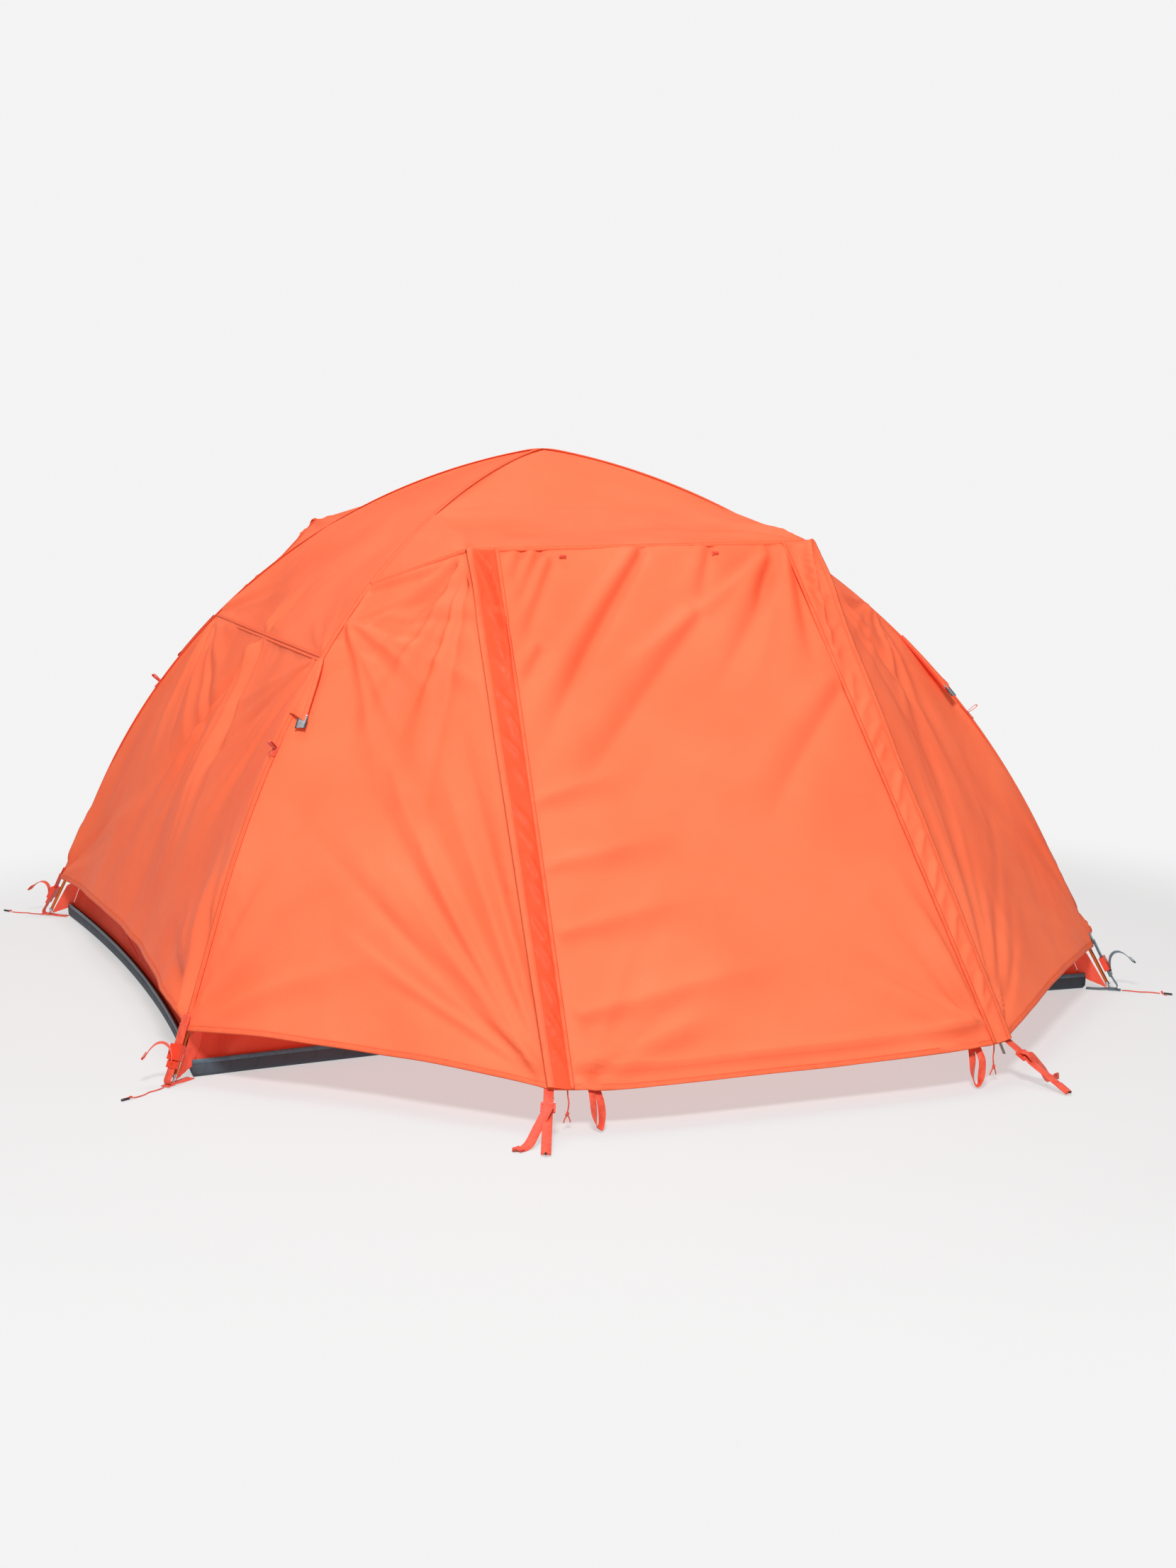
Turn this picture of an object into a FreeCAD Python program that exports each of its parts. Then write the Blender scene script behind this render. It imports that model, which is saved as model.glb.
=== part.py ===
import FreeCAD, Part
import math
import os

import Sketcher
from FreeCAD import Placement, Rotation, Vector

# A free-standing tent on two crossed poles, with a front and a rear porch under one rainfly.
# +X runs along the long side, the front porch faces -Y, +Z is up, and the origin is on the
# ground under the peak. Millimetres and degrees throughout.

DOC = FreeCAD.newDocument("CrossPoleTent")

DRIVING = [
    ("half_length", 1150.0, "pole tip from the centre, along X"),
    ("half_width", 893.0, "pole tip from the centre, along Y"),
    ("side_arc_radius", 1733.6, "long arc of the fly's ridge"),
    ("side_arc_back", 268.4, "that arc's centre, past the tent's centre"),
    ("side_arc_drop", 410.0, "that arc's centre, below the ground"),
    ("crown_radius", 250.0, "small arc over the peak"),
    ("fly_foot", 1464.0, "where the ridge line would meet the ground"),
    ("pole_diameter", 8.5, "outside of the pole tube"),
    ("pole_bore", 6.9, "inside of the pole tube"),
    ("shock_cord_diameter", 2.6, "elastic cord inside the poles"),
    ("upper_pole_inset", 13.0, "upper pole's line, inside the ridge"),
    ("lower_pole_inset", 24.0, "lower pole's line, inside the ridge"),
    ("inner_inset", 44.0, "inner tent's edge, inside the ridge"),
    ("inner_foot", 1392.0, "floor corner from the centre"),
    ("cloth", 2.0, "thickness of a cloth panel"),
    ("seam_gap", 3.0, "half of the gap at a seam"),
    ("roof_reach", 917.0, "where the roof cap's seam crosses the ridge"),
    ("gusset_reach", 735.0, "where the gusset's lower seam meets the ridge"),
    ("hem_height", 108.0, "fly's hem at a pole"),
    ("brow_half", 422.0, "half the length of the porch's brow"),
    ("brow_out", 679.0, "brow from the centre, along Y"),
    ("brow_height", 1094.0, "brow above the ground"),
    ("brow_hub_reach", 480.0, "where a brow pole joins the main poles"),
    ("porch_half", 515.0, "porch corner from the centre, along X"),
    ("porch_corner_out", 1475.0, "porch corner from the centre, along Y"),
    ("porch_out", 1523.0, "middle of the porch's hem, along Y"),
    ("porch_hem", 85.0, "porch's hem above the ground"),
    ("flap_share", 0.166, "part of the half door that its storm flap covers, at the brow"),
    ("flap_foot_share", 0.09, "the same at the hem, where the flap is narrower"),
    ("floor_bow", 42.0, "how far the floor's edges curve in"),
    ("tub_height", 34.0, "upturned edge of the floor"),
    ("door_half", 280.0, "half the width of an inner door"),
    ("door_low", 105.0, "sill of an inner door"),
    ("door_high", 770.0, "top of an inner door"),
    ("door_corner", 250.0, "round top corners of an inner door"),
    ("web", 20.0, "width of the webbing"),
    ("web_thick", 2.0, "thickness of the webbing"),
    ("stake_cord_diameter", 3.0, "corner stake cords"),
    ("eyelet_radius", 4.2, "hole of a corner eyelet"),
]

SHEET = DOC.addObject("Spreadsheet::Sheet", "Dims")
for row, (alias, value, meaning) in enumerate(DRIVING, start=1):
    SHEET.set(f"A{row}", alias)
    SHEET.set(f"B{row}", str(value))
    SHEET.set(f"C{row}", meaning)
    SHEET.setAlias(f"B{row}", alias)
DOC.recompute()

CORNERS = [
    ("front_left", -1, -1),
    ("front_right", 1, -1),
    ("rear_left", -1, 1),
    ("rear_right", 1, 1),
]
SIDES = [("front", -1), ("rear", 1)]
X_AXIS = Vector(1, 0, 0)
Y_AXIS = Vector(0, 1, 0)
Z_AXIS = Vector(0, 0, 1)
ORIGIN = Vector(0, 0, 0)
TUBE_END = 24.0  # from a pole's foot up to the end of its tube
CORD_END = 50.0  # and up to the end of the elastic cord in it
NODES = []


def dim(alias):
    """A driving dimension's value."""
    return float(SHEET.get(alias))


# ---------------------------------------------------------------- lines and places


class Arch:
    """Half of a pole's line in its own upright plane: crown arc, side arc and straight leg.

    A reach is a plan distance from the tent's centre. inset is how far the line lies inside
    the fly's ridge, and foot is the reach at which it meets the ground.
    """

    def __init__(self, inset, foot):
        self.back = dim("side_arc_back")
        self.drop = dim("side_arc_drop")
        self.side = dim("side_arc_radius") - inset
        self.crown = dim("crown_radius") - inset
        rise = math.sqrt((self.side - self.crown) ** 2 - self.back**2)
        self.crown_centre = rise - self.drop
        self.crown_angle = math.atan2(rise, self.back)
        self.crown_reach = self.crown * math.cos(self.crown_angle)
        across = foot + self.back
        away = math.hypot(across, self.drop)
        self.leg_angle = math.atan2(self.drop, across) + math.acos(self.side / away)
        self.leg_reach = self.side * math.cos(self.leg_angle) - self.back
        self.leg_height = self.side * math.sin(self.leg_angle) - self.drop
        self.foot = foot

    def height(self, reach):
        if reach <= self.crown_reach:
            return self.crown_centre + math.sqrt(self.crown**2 - reach**2)
        if reach <= self.leg_reach:
            return math.sqrt(self.side**2 - (reach + self.back) ** 2) - self.drop
        return self.leg_height * (self.foot - reach) / (self.foot - self.leg_reach)

    def reach_on_leg(self, height):
        return self.foot - height * (self.foot - self.leg_reach) / self.leg_height

    def slope(self):
        """The leg's lean from upright, in radians."""
        return math.atan2(self.foot - self.leg_reach, self.leg_height)

    def point(self, reach):
        """The point at this reach, in the quarter where X and Y are positive."""
        share = reach / math.hypot(dim("half_length"), dim("half_width"))
        return Vector(dim("half_length") * share, dim("half_width") * share, self.height(reach))


DIAGONAL = math.hypot(dim("half_length"), dim("half_width"))
AZIMUTH = math.degrees(math.atan2(dim("half_width"), dim("half_length")))
RIDGE = Arch(0.0, dim("fly_foot"))
UPPER = Arch(dim("upper_pole_inset"), DIAGONAL)
LOWER = Arch(dim("lower_pole_inset"), DIAGONAL)
INNER = Arch(dim("inner_inset"), dim("inner_foot"))
HEM_REACH = RIDGE.reach_on_leg(dim("hem_height"))
BROW = Vector(dim("brow_half"), dim("brow_out"), dim("brow_height"))
PORCH = Vector(dim("porch_half"), dim("porch_corner_out"), dim("porch_hem"))


def quarter(shape, sign_x, sign_y):
    """A shape made in the quarter where X and Y are positive, mirrored into another one."""
    out = shape.copy()
    if sign_x < 0:
        out = out.mirror(ORIGIN, X_AXIS)
    if sign_y < 0:
        out = out.mirror(ORIGIN, Y_AXIS)
    return out


def at_corner(shape, sign_x, sign_y):
    """A shape made in a pole's plane (X outwards, Z up), turned to that pole's corner."""
    out = shape.copy()
    angle = math.degrees(math.atan2(sign_y * dim("half_width"), sign_x * dim("half_length")))
    out.rotate(ORIGIN, Z_AXIS, angle)
    return out


def between(start, end):
    """A straight line from start to end, as a function from 0 to 1."""
    return lambda along: start + (end - start) * along


def along_arch(arch, start, end):
    """An arch's line between two reaches, as a function from 0 to 1."""
    return lambda along: arch.point(start + (end - start) * along)


# ---------------------------------------------------------------- making nodes


def keep(label, thing):
    """Names an object of the document as one of the tent's nodes."""
    thing.Label = label
    NODES.append(thing)
    return thing


def shaped(label, shape):
    """A node whose shape is worked out here from the sheet's values."""
    feature = DOC.addObject("Part::Feature", label)
    feature.Shape = shape
    return keep(label, feature)


def group(label, shapes):
    """Several equal or sewn pieces that share one node."""
    return shaped(label, Part.makeCompound(shapes))


def origin_plane(body, role):
    return next(item for item in body.Origin.OriginFeatures if item.Role == role)


def new_body(name):
    return DOC.addObject("PartDesign::Body", name)


def sketch_on(body, role, name, lift=0.0):
    """An empty sketch on one of the body's origin planes, lifted along its normal."""
    sketch = body.newObject("Sketcher::SketchObject", name)
    sketch.AttachmentSupport = [(origin_plane(body, role), "")]
    sketch.MapMode = "FlatFace"
    sketch.AttachmentOffset = Placement(Vector(0, 0, lift), Rotation())
    return sketch


def draw_circle(sketch, centre, size):
    """A circle whose radius follows an expression."""
    index = sketch.addGeometry(Part.Circle(centre, Z_AXIS, 1.0))
    number = sketch.addConstraint(Sketcher.Constraint("Radius", index, 1.0))
    sketch.setExpression(f"Constraints[{number}]", size)
    sketch.addConstraint(Sketcher.Constraint("DistanceX", -1, 1, index, 3, centre.x))
    sketch.addConstraint(Sketcher.Constraint("DistanceY", -1, 1, index, 3, centre.y))


def draw_outline(sketch, points):
    """A closed outline of straight lines through the points."""
    first = None
    count = len(points)
    for index in range(count):
        start = Vector(*points[index], 0)
        end = Vector(*points[(index + 1) % count], 0)
        line = sketch.addGeometry(Part.LineSegment(start, end))
        first = line if first is None else first
    for index in range(count):
        following = first + (index + 1) % count
        sketch.addConstraint(Sketcher.Constraint("Coincident", first + index, 2, following, 1))
    return first


def box_outline(low_x, low_y, high_x, high_y):
    return [(low_x, low_y), (high_x, low_y), (high_x, high_y), (low_x, high_y)]


def pad(body, sketch, length, midplane=False):
    feature = body.newObject("PartDesign::Pad", "Pad")
    feature.Profile = sketch
    feature.Midplane = midplane
    if isinstance(length, str):
        feature.setExpression("Length", length)
    else:
        feature.Length = length
    return feature


def pocket(body, sketch, length, midplane=False, reverse=False):
    """A pocket that has to take material away."""
    DOC.recompute()
    before = body.Shape.Volume
    feature = body.newObject("PartDesign::Pocket", "Pocket")
    feature.Profile = sketch
    feature.Midplane = midplane
    feature.Reversed = reverse
    feature.Length = length
    DOC.recompute()
    if body.Shape.Volume > before - 1.0:
        raise RuntimeError(f"a pocket of {body.Name} takes nothing away")
    return feature


def block(low, high):
    """A plain box between two corners."""
    size = high - low
    return Part.makeBox(size.x, size.y, size.z, low)


# ---------------------------------------------------------------- cloth panels


def patch(left, right, rows, columns, shift=None):
    """Rows of points on straight lines from left(u) to right(u), trimmed at the side seams."""
    grid = []
    for row in range(rows + 1):
        along = row / rows
        start = left(along)
        end = right(along)
        trim = dim("seam_gap") / (end - start).Length
        line = []
        for column in range(columns + 1):
            across = trim + (1 - 2 * trim) * column / columns
            point = start + (end - start) * across
            if shift:
                point = point + shift(along, across)
            line.append(point)
        grid.append(line)
    return grid


def offset_grid(grid, distance):
    """The grid moved along its own normals; a positive distance is away from the tent."""
    rows = len(grid)
    columns = len(grid[0])
    core = Vector(0, 0, 200)
    out = []
    for row in range(rows):
        line = []
        for column in range(columns):
            down = grid[min(row + 1, rows - 1)][column] - grid[max(row - 1, 0)][column]
            over = grid[row][min(column + 1, columns - 1)] - grid[row][max(column - 1, 0)]
            normal = down.cross(over)
            normal.normalize()
            if normal.dot(grid[row][column] - core) < 0:
                normal = normal * -1
            line.append(grid[row][column] + normal * distance)
        out.append(line)
    return out


def sheet_solid(grid, thickness):
    """A closed thin solid between the grid's surface and the same surface moved inwards."""
    surfaces = []
    for points in (grid, offset_grid(grid, -thickness)):
        surface = Part.BSplineSurface()
        surface.interpolate(points)
        surfaces.append(surface)
    outer, inner = surfaces
    faces = [outer.toShape(), inner.toShape()]
    low_u, high_u, low_v, high_v = outer.bounds()
    for value in (low_u, high_u):
        faces.append(Part.makeRuledSurface(outer.uIso(value).toShape(), inner.uIso(value).toShape()))
    for value in (low_v, high_v):
        faces.append(Part.makeRuledSurface(outer.vIso(value).toShape(), inner.vIso(value).toShape()))
    shell = Part.makeShell(faces)
    shell.sewShape()
    solid = Part.makeSolid(shell)
    if solid.Volume < 0:
        solid.reverse()
    return solid


def sag(depth, direction):
    """A shallow dip across the panel's middle, none at its edges."""
    step = Vector(*direction)
    step.normalize()
    return lambda along, across: step * (depth * 4 * across * (1 - across) * math.sin(math.pi * along))


def hem_lift(rise, direction):
    """The hem's shallow arch between its two corners, fading out up the panel."""
    step = Vector(*direction)
    step.normalize()
    return lambda along, across: step * (rise * 4 * across * (1 - across) * along**4)


def both(first, second):
    return lambda along, across: first(along, across) + second(along, across)


# ---------------------------------------------------------------- poles and their fittings


def draw_half_arch(sketch, arch, end_height):
    """The right half of a pole's line, down to end_height on its leg."""
    crown = Part.Circle(Vector(0, arch.crown_centre, 0), Z_AXIS, arch.crown)
    side = Part.Circle(Vector(-arch.back, -arch.drop, 0), Z_AXIS, arch.side)
    sketch.addGeometry(Part.ArcOfCircle(crown, arch.crown_angle, math.pi / 2))
    sketch.addGeometry(Part.ArcOfCircle(side, arch.leg_angle, arch.crown_angle))
    top = Vector(arch.leg_reach, arch.leg_height, 0)
    low = Vector(arch.reach_on_leg(end_height), end_height, 0)
    sketch.addGeometry(Part.LineSegment(top, low))


def swept_body(name, path, height, diameters, azimuth):
    """A rod or tube swept along half a path in the body's XZ plane, then mirrored."""
    body = new_body(name)
    spine = sketch_on(body, "XZ_Plane", name + "_line")
    path(spine)
    profile = sketch_on(body, "YZ_Plane", name + "_section")
    for size in diameters:
        draw_circle(profile, Vector(0, height, 0), f"Dims.{size} / 2")
    pipe = body.newObject("PartDesign::AdditivePipe", name + "_sweep")
    pipe.Profile = profile
    pipe.Spine = (spine, [f"Edge{number + 1}" for number in range(len(spine.Geometry))])
    mirror = body.newObject("PartDesign::Mirrored", name + "_mirror")
    mirror.Originals = [pipe]
    mirror.MirrorPlane = (origin_plane(body, "YZ_Plane"), [""])
    body.Tip = mirror
    body.Placement = Placement(ORIGIN, Rotation(Z_AXIS, azimuth))
    return body


def pole_body(name, arch, diameters, azimuth, end=TUBE_END):
    end_height = end * math.cos(arch.slope())
    top = arch.height(0.0)

    def path(sketch):
        draw_half_arch(sketch, arch, end_height)

    return swept_body(name, path, top, diameters, azimuth)


def ferrule(arch, angle, radius, wall, length):
    """A short sleeve round the pole, bent to the pole's own arc."""
    centre = Vector(arch.side * math.cos(angle) - arch.back, 0, arch.side * math.sin(angle) - arch.drop)
    tangent = Vector(-math.sin(angle), 0, math.cos(angle))
    outer = Part.Face(Part.Wire(Part.Circle(centre, tangent, radius + wall).toShape()))
    inner = Part.Face(Part.Wire(Part.Circle(centre, tangent, radius).toShape()))
    ring = outer.cut(inner)
    turn = math.degrees(length / arch.side)
    pivot = Vector(-arch.back, 0, -arch.drop)
    return ring.revolve(pivot, Vector(0, -1, 0), turn)


def pole_tip(arch):
    """The end plug of a pole: a stem in the tube, a collar and a round-ended pin."""
    stem, collar, pin = 3.2, 5.0, 2.2
    body = new_body("TipSeed")
    sketch = sketch_on(body, "XZ_Plane", "TipSection")
    pin_low = pin * math.tan(arch.slope()) + 0.4
    pin_side = [(0, pin_low), (pin, pin_low), (pin, 16), (collar, 16)]
    draw_outline(sketch, pin_side + [(collar, 23), (stem, 23), (stem, 44), (0, 44)])
    turned = body.newObject("PartDesign::Revolution", "TipTurn")
    turned.Profile = sketch
    turned.ReferenceAxis = (sketch, ["V_Axis"])
    turned.Angle = 360
    DOC.recompute()
    shape = body.Shape.copy()
    shape.rotate(ORIGIN, Y_AXIS, -math.degrees(arch.slope()))
    shape.translate(Vector(DIAGONAL, 0, 0))
    return shape


def make_poles():
    keep("main_pole_upper", pole_body("UpperPole", UPPER, ["pole_diameter", "pole_bore"], AZIMUTH))
    keep("main_pole_lower", pole_body("LowerPole", LOWER, ["pole_diameter", "pole_bore"], -AZIMUTH))
    keep("shock_cord_upper", pole_body("UpperCord", UPPER, ["shock_cord_diameter"], AZIMUTH, CORD_END))
    keep("shock_cord_lower", pole_body("LowerCord", LOWER, ["shock_cord_diameter"], -AZIMUTH, CORD_END))
    sleeves = []
    tips = []
    clearance, wall, length, joints = 0.15, 0.6, 34.0, 4
    for name, sign_x, sign_y in CORNERS:
        arch = UPPER if sign_x == sign_y else LOWER
        span = arch.crown_angle - arch.leg_angle
        for joint in range(joints):
            angle = arch.leg_angle + span * (joint + 0.3) / joints
            sleeve = ferrule(arch, angle, dim("pole_diameter") / 2 + clearance, wall, length)
            sleeves.append(at_corner(sleeve, sign_x, sign_y))
        tips.append(at_corner(pole_tip(arch), sign_x, sign_y))
    group("pole_ferrules", sleeves)
    group("pole_tips", tips)


def make_crossing_hub():
    """A round block with one channel for each main pole, one above the other."""
    channel, radius, cap = 5.4, 17.0, 2.0
    high = UPPER.height(0.0)
    low = LOWER.height(0.0)
    core = DOC.addObject("Part::Cylinder", "HubCore")
    core.Radius = radius
    core.Height = high - low + 2 * cap + dim("pole_diameter")
    core.Placement = Placement(Vector(0, 0, low - cap - dim("pole_diameter") / 2), Rotation())
    channels = []
    for name, height, azimuth in (("High", high, AZIMUTH), ("Low", low, -AZIMUTH)):
        bore = DOC.addObject("Part::Cylinder", f"Hub{name}Channel")
        bore.Radius = channel
        bore.Height = 4 * radius
        heading = Vector(math.cos(math.radians(azimuth)), math.sin(math.radians(azimuth)), 0)
        start = heading * (-2 * radius) + Vector(0, 0, height)
        bore.Placement = Placement(start, Rotation(Z_AXIS, heading))
        channels.append(bore)
    first = DOC.addObject("Part::Cut", "HubHigh")
    first.Base = core
    first.Tool = channels[0]
    second = DOC.addObject("Part::Cut", "HubBoth")
    second.Base = first
    second.Tool = channels[1]
    keep("crossing_hub", second)


def make_brow_poles():
    """One bent pole under each brow, with its legs running back to the main poles."""
    inset = dim("upper_pole_inset")
    bend, short = 48.0, 17.0
    hub = UPPER.point(dim("brow_hub_reach"))
    front = Vector(0, dim("brow_out") - 0.7 * inset, dim("brow_height") - inset)
    depth = math.hypot(front.y - hub.y, front.z - hub.z) - short
    tilt = math.degrees(math.atan2(hub.z - front.z, front.y - hub.y))
    corner_x = dim("brow_half") - 0.5 * inset
    leg = Vector(hub.x - corner_x, depth, 0)
    turn = math.atan2(leg.y, leg.x)
    reach = bend * math.tan(turn / 2)
    heading = Vector(leg)
    heading.normalize()
    arc_start = Vector(corner_x - reach, 0, 0)
    arc_end = Vector(corner_x, 0, 0) + heading * reach
    centre = Vector(corner_x - reach, bend, 0)
    end = Vector(corner_x, 0, 0) + leg

    def path(sketch):
        sketch.addGeometry(Part.LineSegment(ORIGIN, arc_start))
        circle = Part.Circle(centre, Z_AXIS, bend)
        sketch.addGeometry(Part.ArcOfCircle(circle, -math.pi / 2, turn - math.pi / 2))
        sketch.addGeometry(Part.LineSegment(arc_end, end))

    for name, sign in SIDES:
        body = swept_body(f"Brow{name.title()}", path, 0.0, ["pole_diameter", "pole_bore"], 0)
        # The path lies in the body's XZ plane; it is laid over to run back and up to the hubs.
        lay_back = Rotation(X_AXIS, tilt - 90)
        turn_round = Rotation(Z_AXIS, 0 if sign < 0 else 180)
        start = turn_round.multVec(Vector(0, -front.y, front.z))
        body.Placement = Placement(start, turn_round.multiply(lay_back))
        keep(f"brow_pole_{name}", body)
    return front, end, tilt


def make_brow_hubs(front, end, tilt):
    """Ball clips that hold each brow pole's ends on the main poles."""
    ball, play = 9.5, 0.4
    radius = dim("pole_diameter") / 2 + play
    slant = math.radians(tilt)
    tip = Vector(end.x, front.y - end.y * math.cos(slant), front.z + end.y * math.sin(slant))
    corner = Vector(dim("brow_half"), front.y, front.z)
    hubs = []
    for name, sign_x, sign_y in CORNERS:
        arch = UPPER if sign_x == sign_y else LOWER
        centre = arch.point(dim("brow_hub_reach"))
        ahead = arch.point(dim("brow_hub_reach") + 1.0)
        behind = arch.point(dim("brow_hub_reach") - 1.0)
        run = ahead - behind
        run.normalize()
        inward = tip - corner
        inward.normalize()
        ball_solid = Part.makeSphere(ball, centre)
        lug = Part.makeCylinder(7.0, 26.0, tip - inward * 9.0, inward)
        solid = ball_solid.fuse(lug).removeSplitter()
        solid = solid.cut(Part.makeCylinder(radius, 6 * ball, centre - run * 3 * ball, run))
        socket = Part.makeCylinder(radius, 40.0, tip - inward * 39.0, inward)
        hubs.append(quarter(solid.cut(socket), sign_x, sign_y))
    group("brow_pole_clips", hubs)


def make_inner_clips():
    """Hooks that hang the inner tent's edges from the main poles."""
    wide, wall, play = 9.0, 2.2, 0.5
    clips = []
    stations = [230.0, 400.0, 590.0, 830.0, 1100.0]
    for name, sign_x, sign_y in CORNERS:
        arch = UPPER if sign_x == sign_y else LOWER
        gap = dim("inner_inset") - (dim("upper_pole_inset") if arch is UPPER else dim("lower_pole_inset"))
        for reach in stations:
            angle = math.acos((reach + arch.back) / arch.side)
            radius = dim("pole_diameter") / 2 + play
            ring = Part.makeCylinder(radius + wall, wide, Vector(0, 0, -wide / 2))
            stem_end = -(gap - 5.0)
            stem = block(Vector(stem_end, -3.5, -wide / 2), Vector(-radius - wall / 2, 3.5, wide / 2))
            solid = ring.fuse(stem).cut(Part.makeCylinder(radius, 3 * wide, Vector(0, 0, -1.5 * wide)))
            mouth = block(Vector(0, -2.6, -wide), Vector(20, 2.6, wide))
            solid = solid.cut(mouth)
            solid.rotate(ORIGIN, Y_AXIS, -math.degrees(angle))
            place = Vector(reach, 0, arch.height(reach))
            solid.translate(place)
            clips.append(at_corner(solid, sign_x, sign_y))
    group("inner_clips", clips)


# ---------------------------------------------------------------- inner tent


def bowed_outline(corner, middle_x, middle_y):
    """A rectangle whose four sides are arcs that curve in between the corners."""
    arcs = [
        Part.Arc(Vector(corner.x, -corner.y, 0), Vector(middle_x, 0, 0), Vector(corner.x, corner.y, 0)),
        Part.Arc(Vector(corner.x, corner.y, 0), Vector(0, middle_y, 0), Vector(-corner.x, corner.y, 0)),
        Part.Arc(Vector(-corner.x, corner.y, 0), Vector(-middle_x, 0, 0), Vector(-corner.x, -corner.y, 0)),
        Part.Arc(Vector(-corner.x, -corner.y, 0), Vector(0, -middle_y, 0), Vector(corner.x, -corner.y, 0)),
    ]
    return arcs


def make_floor():
    """The waterproof floor: a shallow tub with an upturned edge."""
    body = new_body("FloorTub")
    corner = INNER.point(dim("inner_foot"))
    bow = dim("floor_bow")
    outline = sketch_on(body, "XY_Plane", "FloorOutline")
    for arc in bowed_outline(corner, corner.x - bow, corner.y - bow):
        outline.addGeometry(arc)
    pad(body, outline, "Dims.tub_height")
    hollow = sketch_on(body, "XY_Plane", "FloorHollow", dim("tub_height"))
    wall = dim("cloth")
    inside = Vector(corner.x - wall, corner.y - wall, 0)
    for arc in bowed_outline(inside, inside.x - bow, inside.y - bow):
        hollow.addGeometry(arc)
    pocket(body, hollow, dim("tub_height") - dim("cloth"))
    keep("floor_tub", body)


def inner_wall_grid(long_side):
    """One wall of the inner tent, from the floor's edge to the peak; +Y side or +X side."""
    low = INNER.reach_on_leg(dim("tub_height") + 2.0)
    high = 14.0
    right = along_arch(INNER, low, high)

    def left(along):
        point = right(along)
        return Vector(-point.x, point.y, point.z) if long_side else Vector(point.x, -point.y, point.z)

    outward = Vector(0, 1, 0) if long_side else Vector(1, 0, 0)

    def shift(along, across):
        bow = dim("floor_bow") * (1 - along) ** 2
        return outward * (-bow * 4 * across * (1 - across))

    return patch(left, right, 12, 8, shift)


def door_blank(play):
    """The inner door's outline as a tall block along Y; play grows it all round."""
    half = dim("door_half") + play
    low = dim("door_low") - play
    high = dim("door_high") + play
    radius = dim("door_corner")
    a = Vector(-half, 0, low)
    b = Vector(half, 0, low)
    c = Vector(half, 0, high - radius)
    d = Vector(half - radius, 0, high)
    e = Vector(-half + radius, 0, high)
    f = Vector(-half, 0, high - radius)
    bulge = radius * (1 - math.sqrt(0.5))
    edges = [
        Part.LineSegment(a, b).toShape(),
        Part.LineSegment(b, c).toShape(),
        Part.Arc(c, Vector(half - bulge, 0, high - bulge), d).toShape(),
        Part.LineSegment(d, e).toShape(),
        Part.Arc(e, Vector(-half + bulge, 0, high - bulge), f).toShape(),
        Part.LineSegment(f, a).toShape(),
    ]
    return Part.Face(Part.Wire(edges)).extrude(Vector(0, 1000, 0))


def make_inner_tent():
    side_wall = sheet_solid(inner_wall_grid(False), dim("cloth"))
    shaped("inner_wall_right", side_wall)
    shaped("inner_wall_left", side_wall.mirror(ORIGIN, X_AXIS))
    long_wall = sheet_solid(inner_wall_grid(True), dim("cloth"))
    hole = door_blank(0.0)
    opening = long_wall.cut(hole)
    door = long_wall.common(door_blank(-3.0))
    for name, sign in SIDES:
        shaped(f"inner_wall_{name}", quarter(opening, 1, sign))
        shaped(f"inner_door_{name}", quarter(door, 1, sign))


# ---------------------------------------------------------------- rainfly


def roof_shapes():
    """The roof cap's sewn panels: two ends, two brows, two crowns and four gussets."""
    gap = dim("seam_gap")
    start = dim("roof_reach") - gap
    peak = 14.0
    right = along_arch(RIDGE, start, peak)

    def front_of(point):
        return Vector(point.x, -point.y, point.z)

    end = patch(lambda u: front_of(right(u)), right, 10, 8, sag(12.0, (0, 0, -1)))
    end_panel = sheet_solid(end, dim("cloth"))
    hub_reach = dim("brow_hub_reach")
    knee = RIDGE.point(hub_reach)
    lip = gap / (knee - BROW).Length
    brow_edge = between(BROW + (knee - BROW) * lip, knee)
    crown_edge = along_arch(RIDGE, hub_reach - gap, peak)

    def left_of(point):
        return Vector(-point.x, point.y, point.z)

    brow = patch(lambda u: left_of(brow_edge(u)), brow_edge, 5, 6)
    brow_panel = sheet_solid(brow, dim("cloth"))
    crown = patch(lambda u: left_of(crown_edge(u)), crown_edge, 8, 6)
    crown_panel = sheet_solid(crown, dim("cloth"))
    narrow = 0.96
    foot = dim("gusset_reach") - gap
    ridge_side = along_arch(RIDGE, foot, foot + (hub_reach - foot) * narrow)
    brow_side = between(BROW, BROW + (knee - BROW) * narrow)
    gusset = sheet_solid(patch(ridge_side, brow_side, 8, 4), dim("cloth"))
    shapes = [end_panel, quarter(end_panel, -1, 1)]
    for panel in (brow_panel, crown_panel):
        shapes += [panel, quarter(panel, 1, -1)]
    shapes += [quarter(gusset, sign_x, sign_y) for name, sign_x, sign_y in CORNERS]
    return shapes


def end_wall():
    """The wall between two poles at the +X end."""
    gap = dim("seam_gap")
    right = along_arch(RIDGE, dim("roof_reach") + gap, HEM_REACH)
    slope = (-0.42, 0, 0.9)
    shift = both(sag(18.0, (-0.9, 0, -0.42)), hem_lift(40.0, slope))
    grid = patch(lambda u: Vector(right(u).x, -right(u).y, right(u).z), right, 12, 10, shift)
    return sheet_solid(grid, dim("cloth"))


def porch_side():
    """The porch's side, from the pole's ridge to the door's edge."""
    gap = dim("seam_gap")
    ridge = along_arch(RIDGE, dim("gusset_reach") + gap, HEM_REACH)
    trim = gap / (PORCH - BROW).Length
    edge = between(BROW + (PORCH - BROW) * trim, PORCH)
    shift = both(sag(10.0, (-0.6, -0.6, -0.5)), hem_lift(18.0, (0, 0, 1)))
    return sheet_solid(patch(ridge, edge, 12, 8, shift), dim("cloth"))


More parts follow.
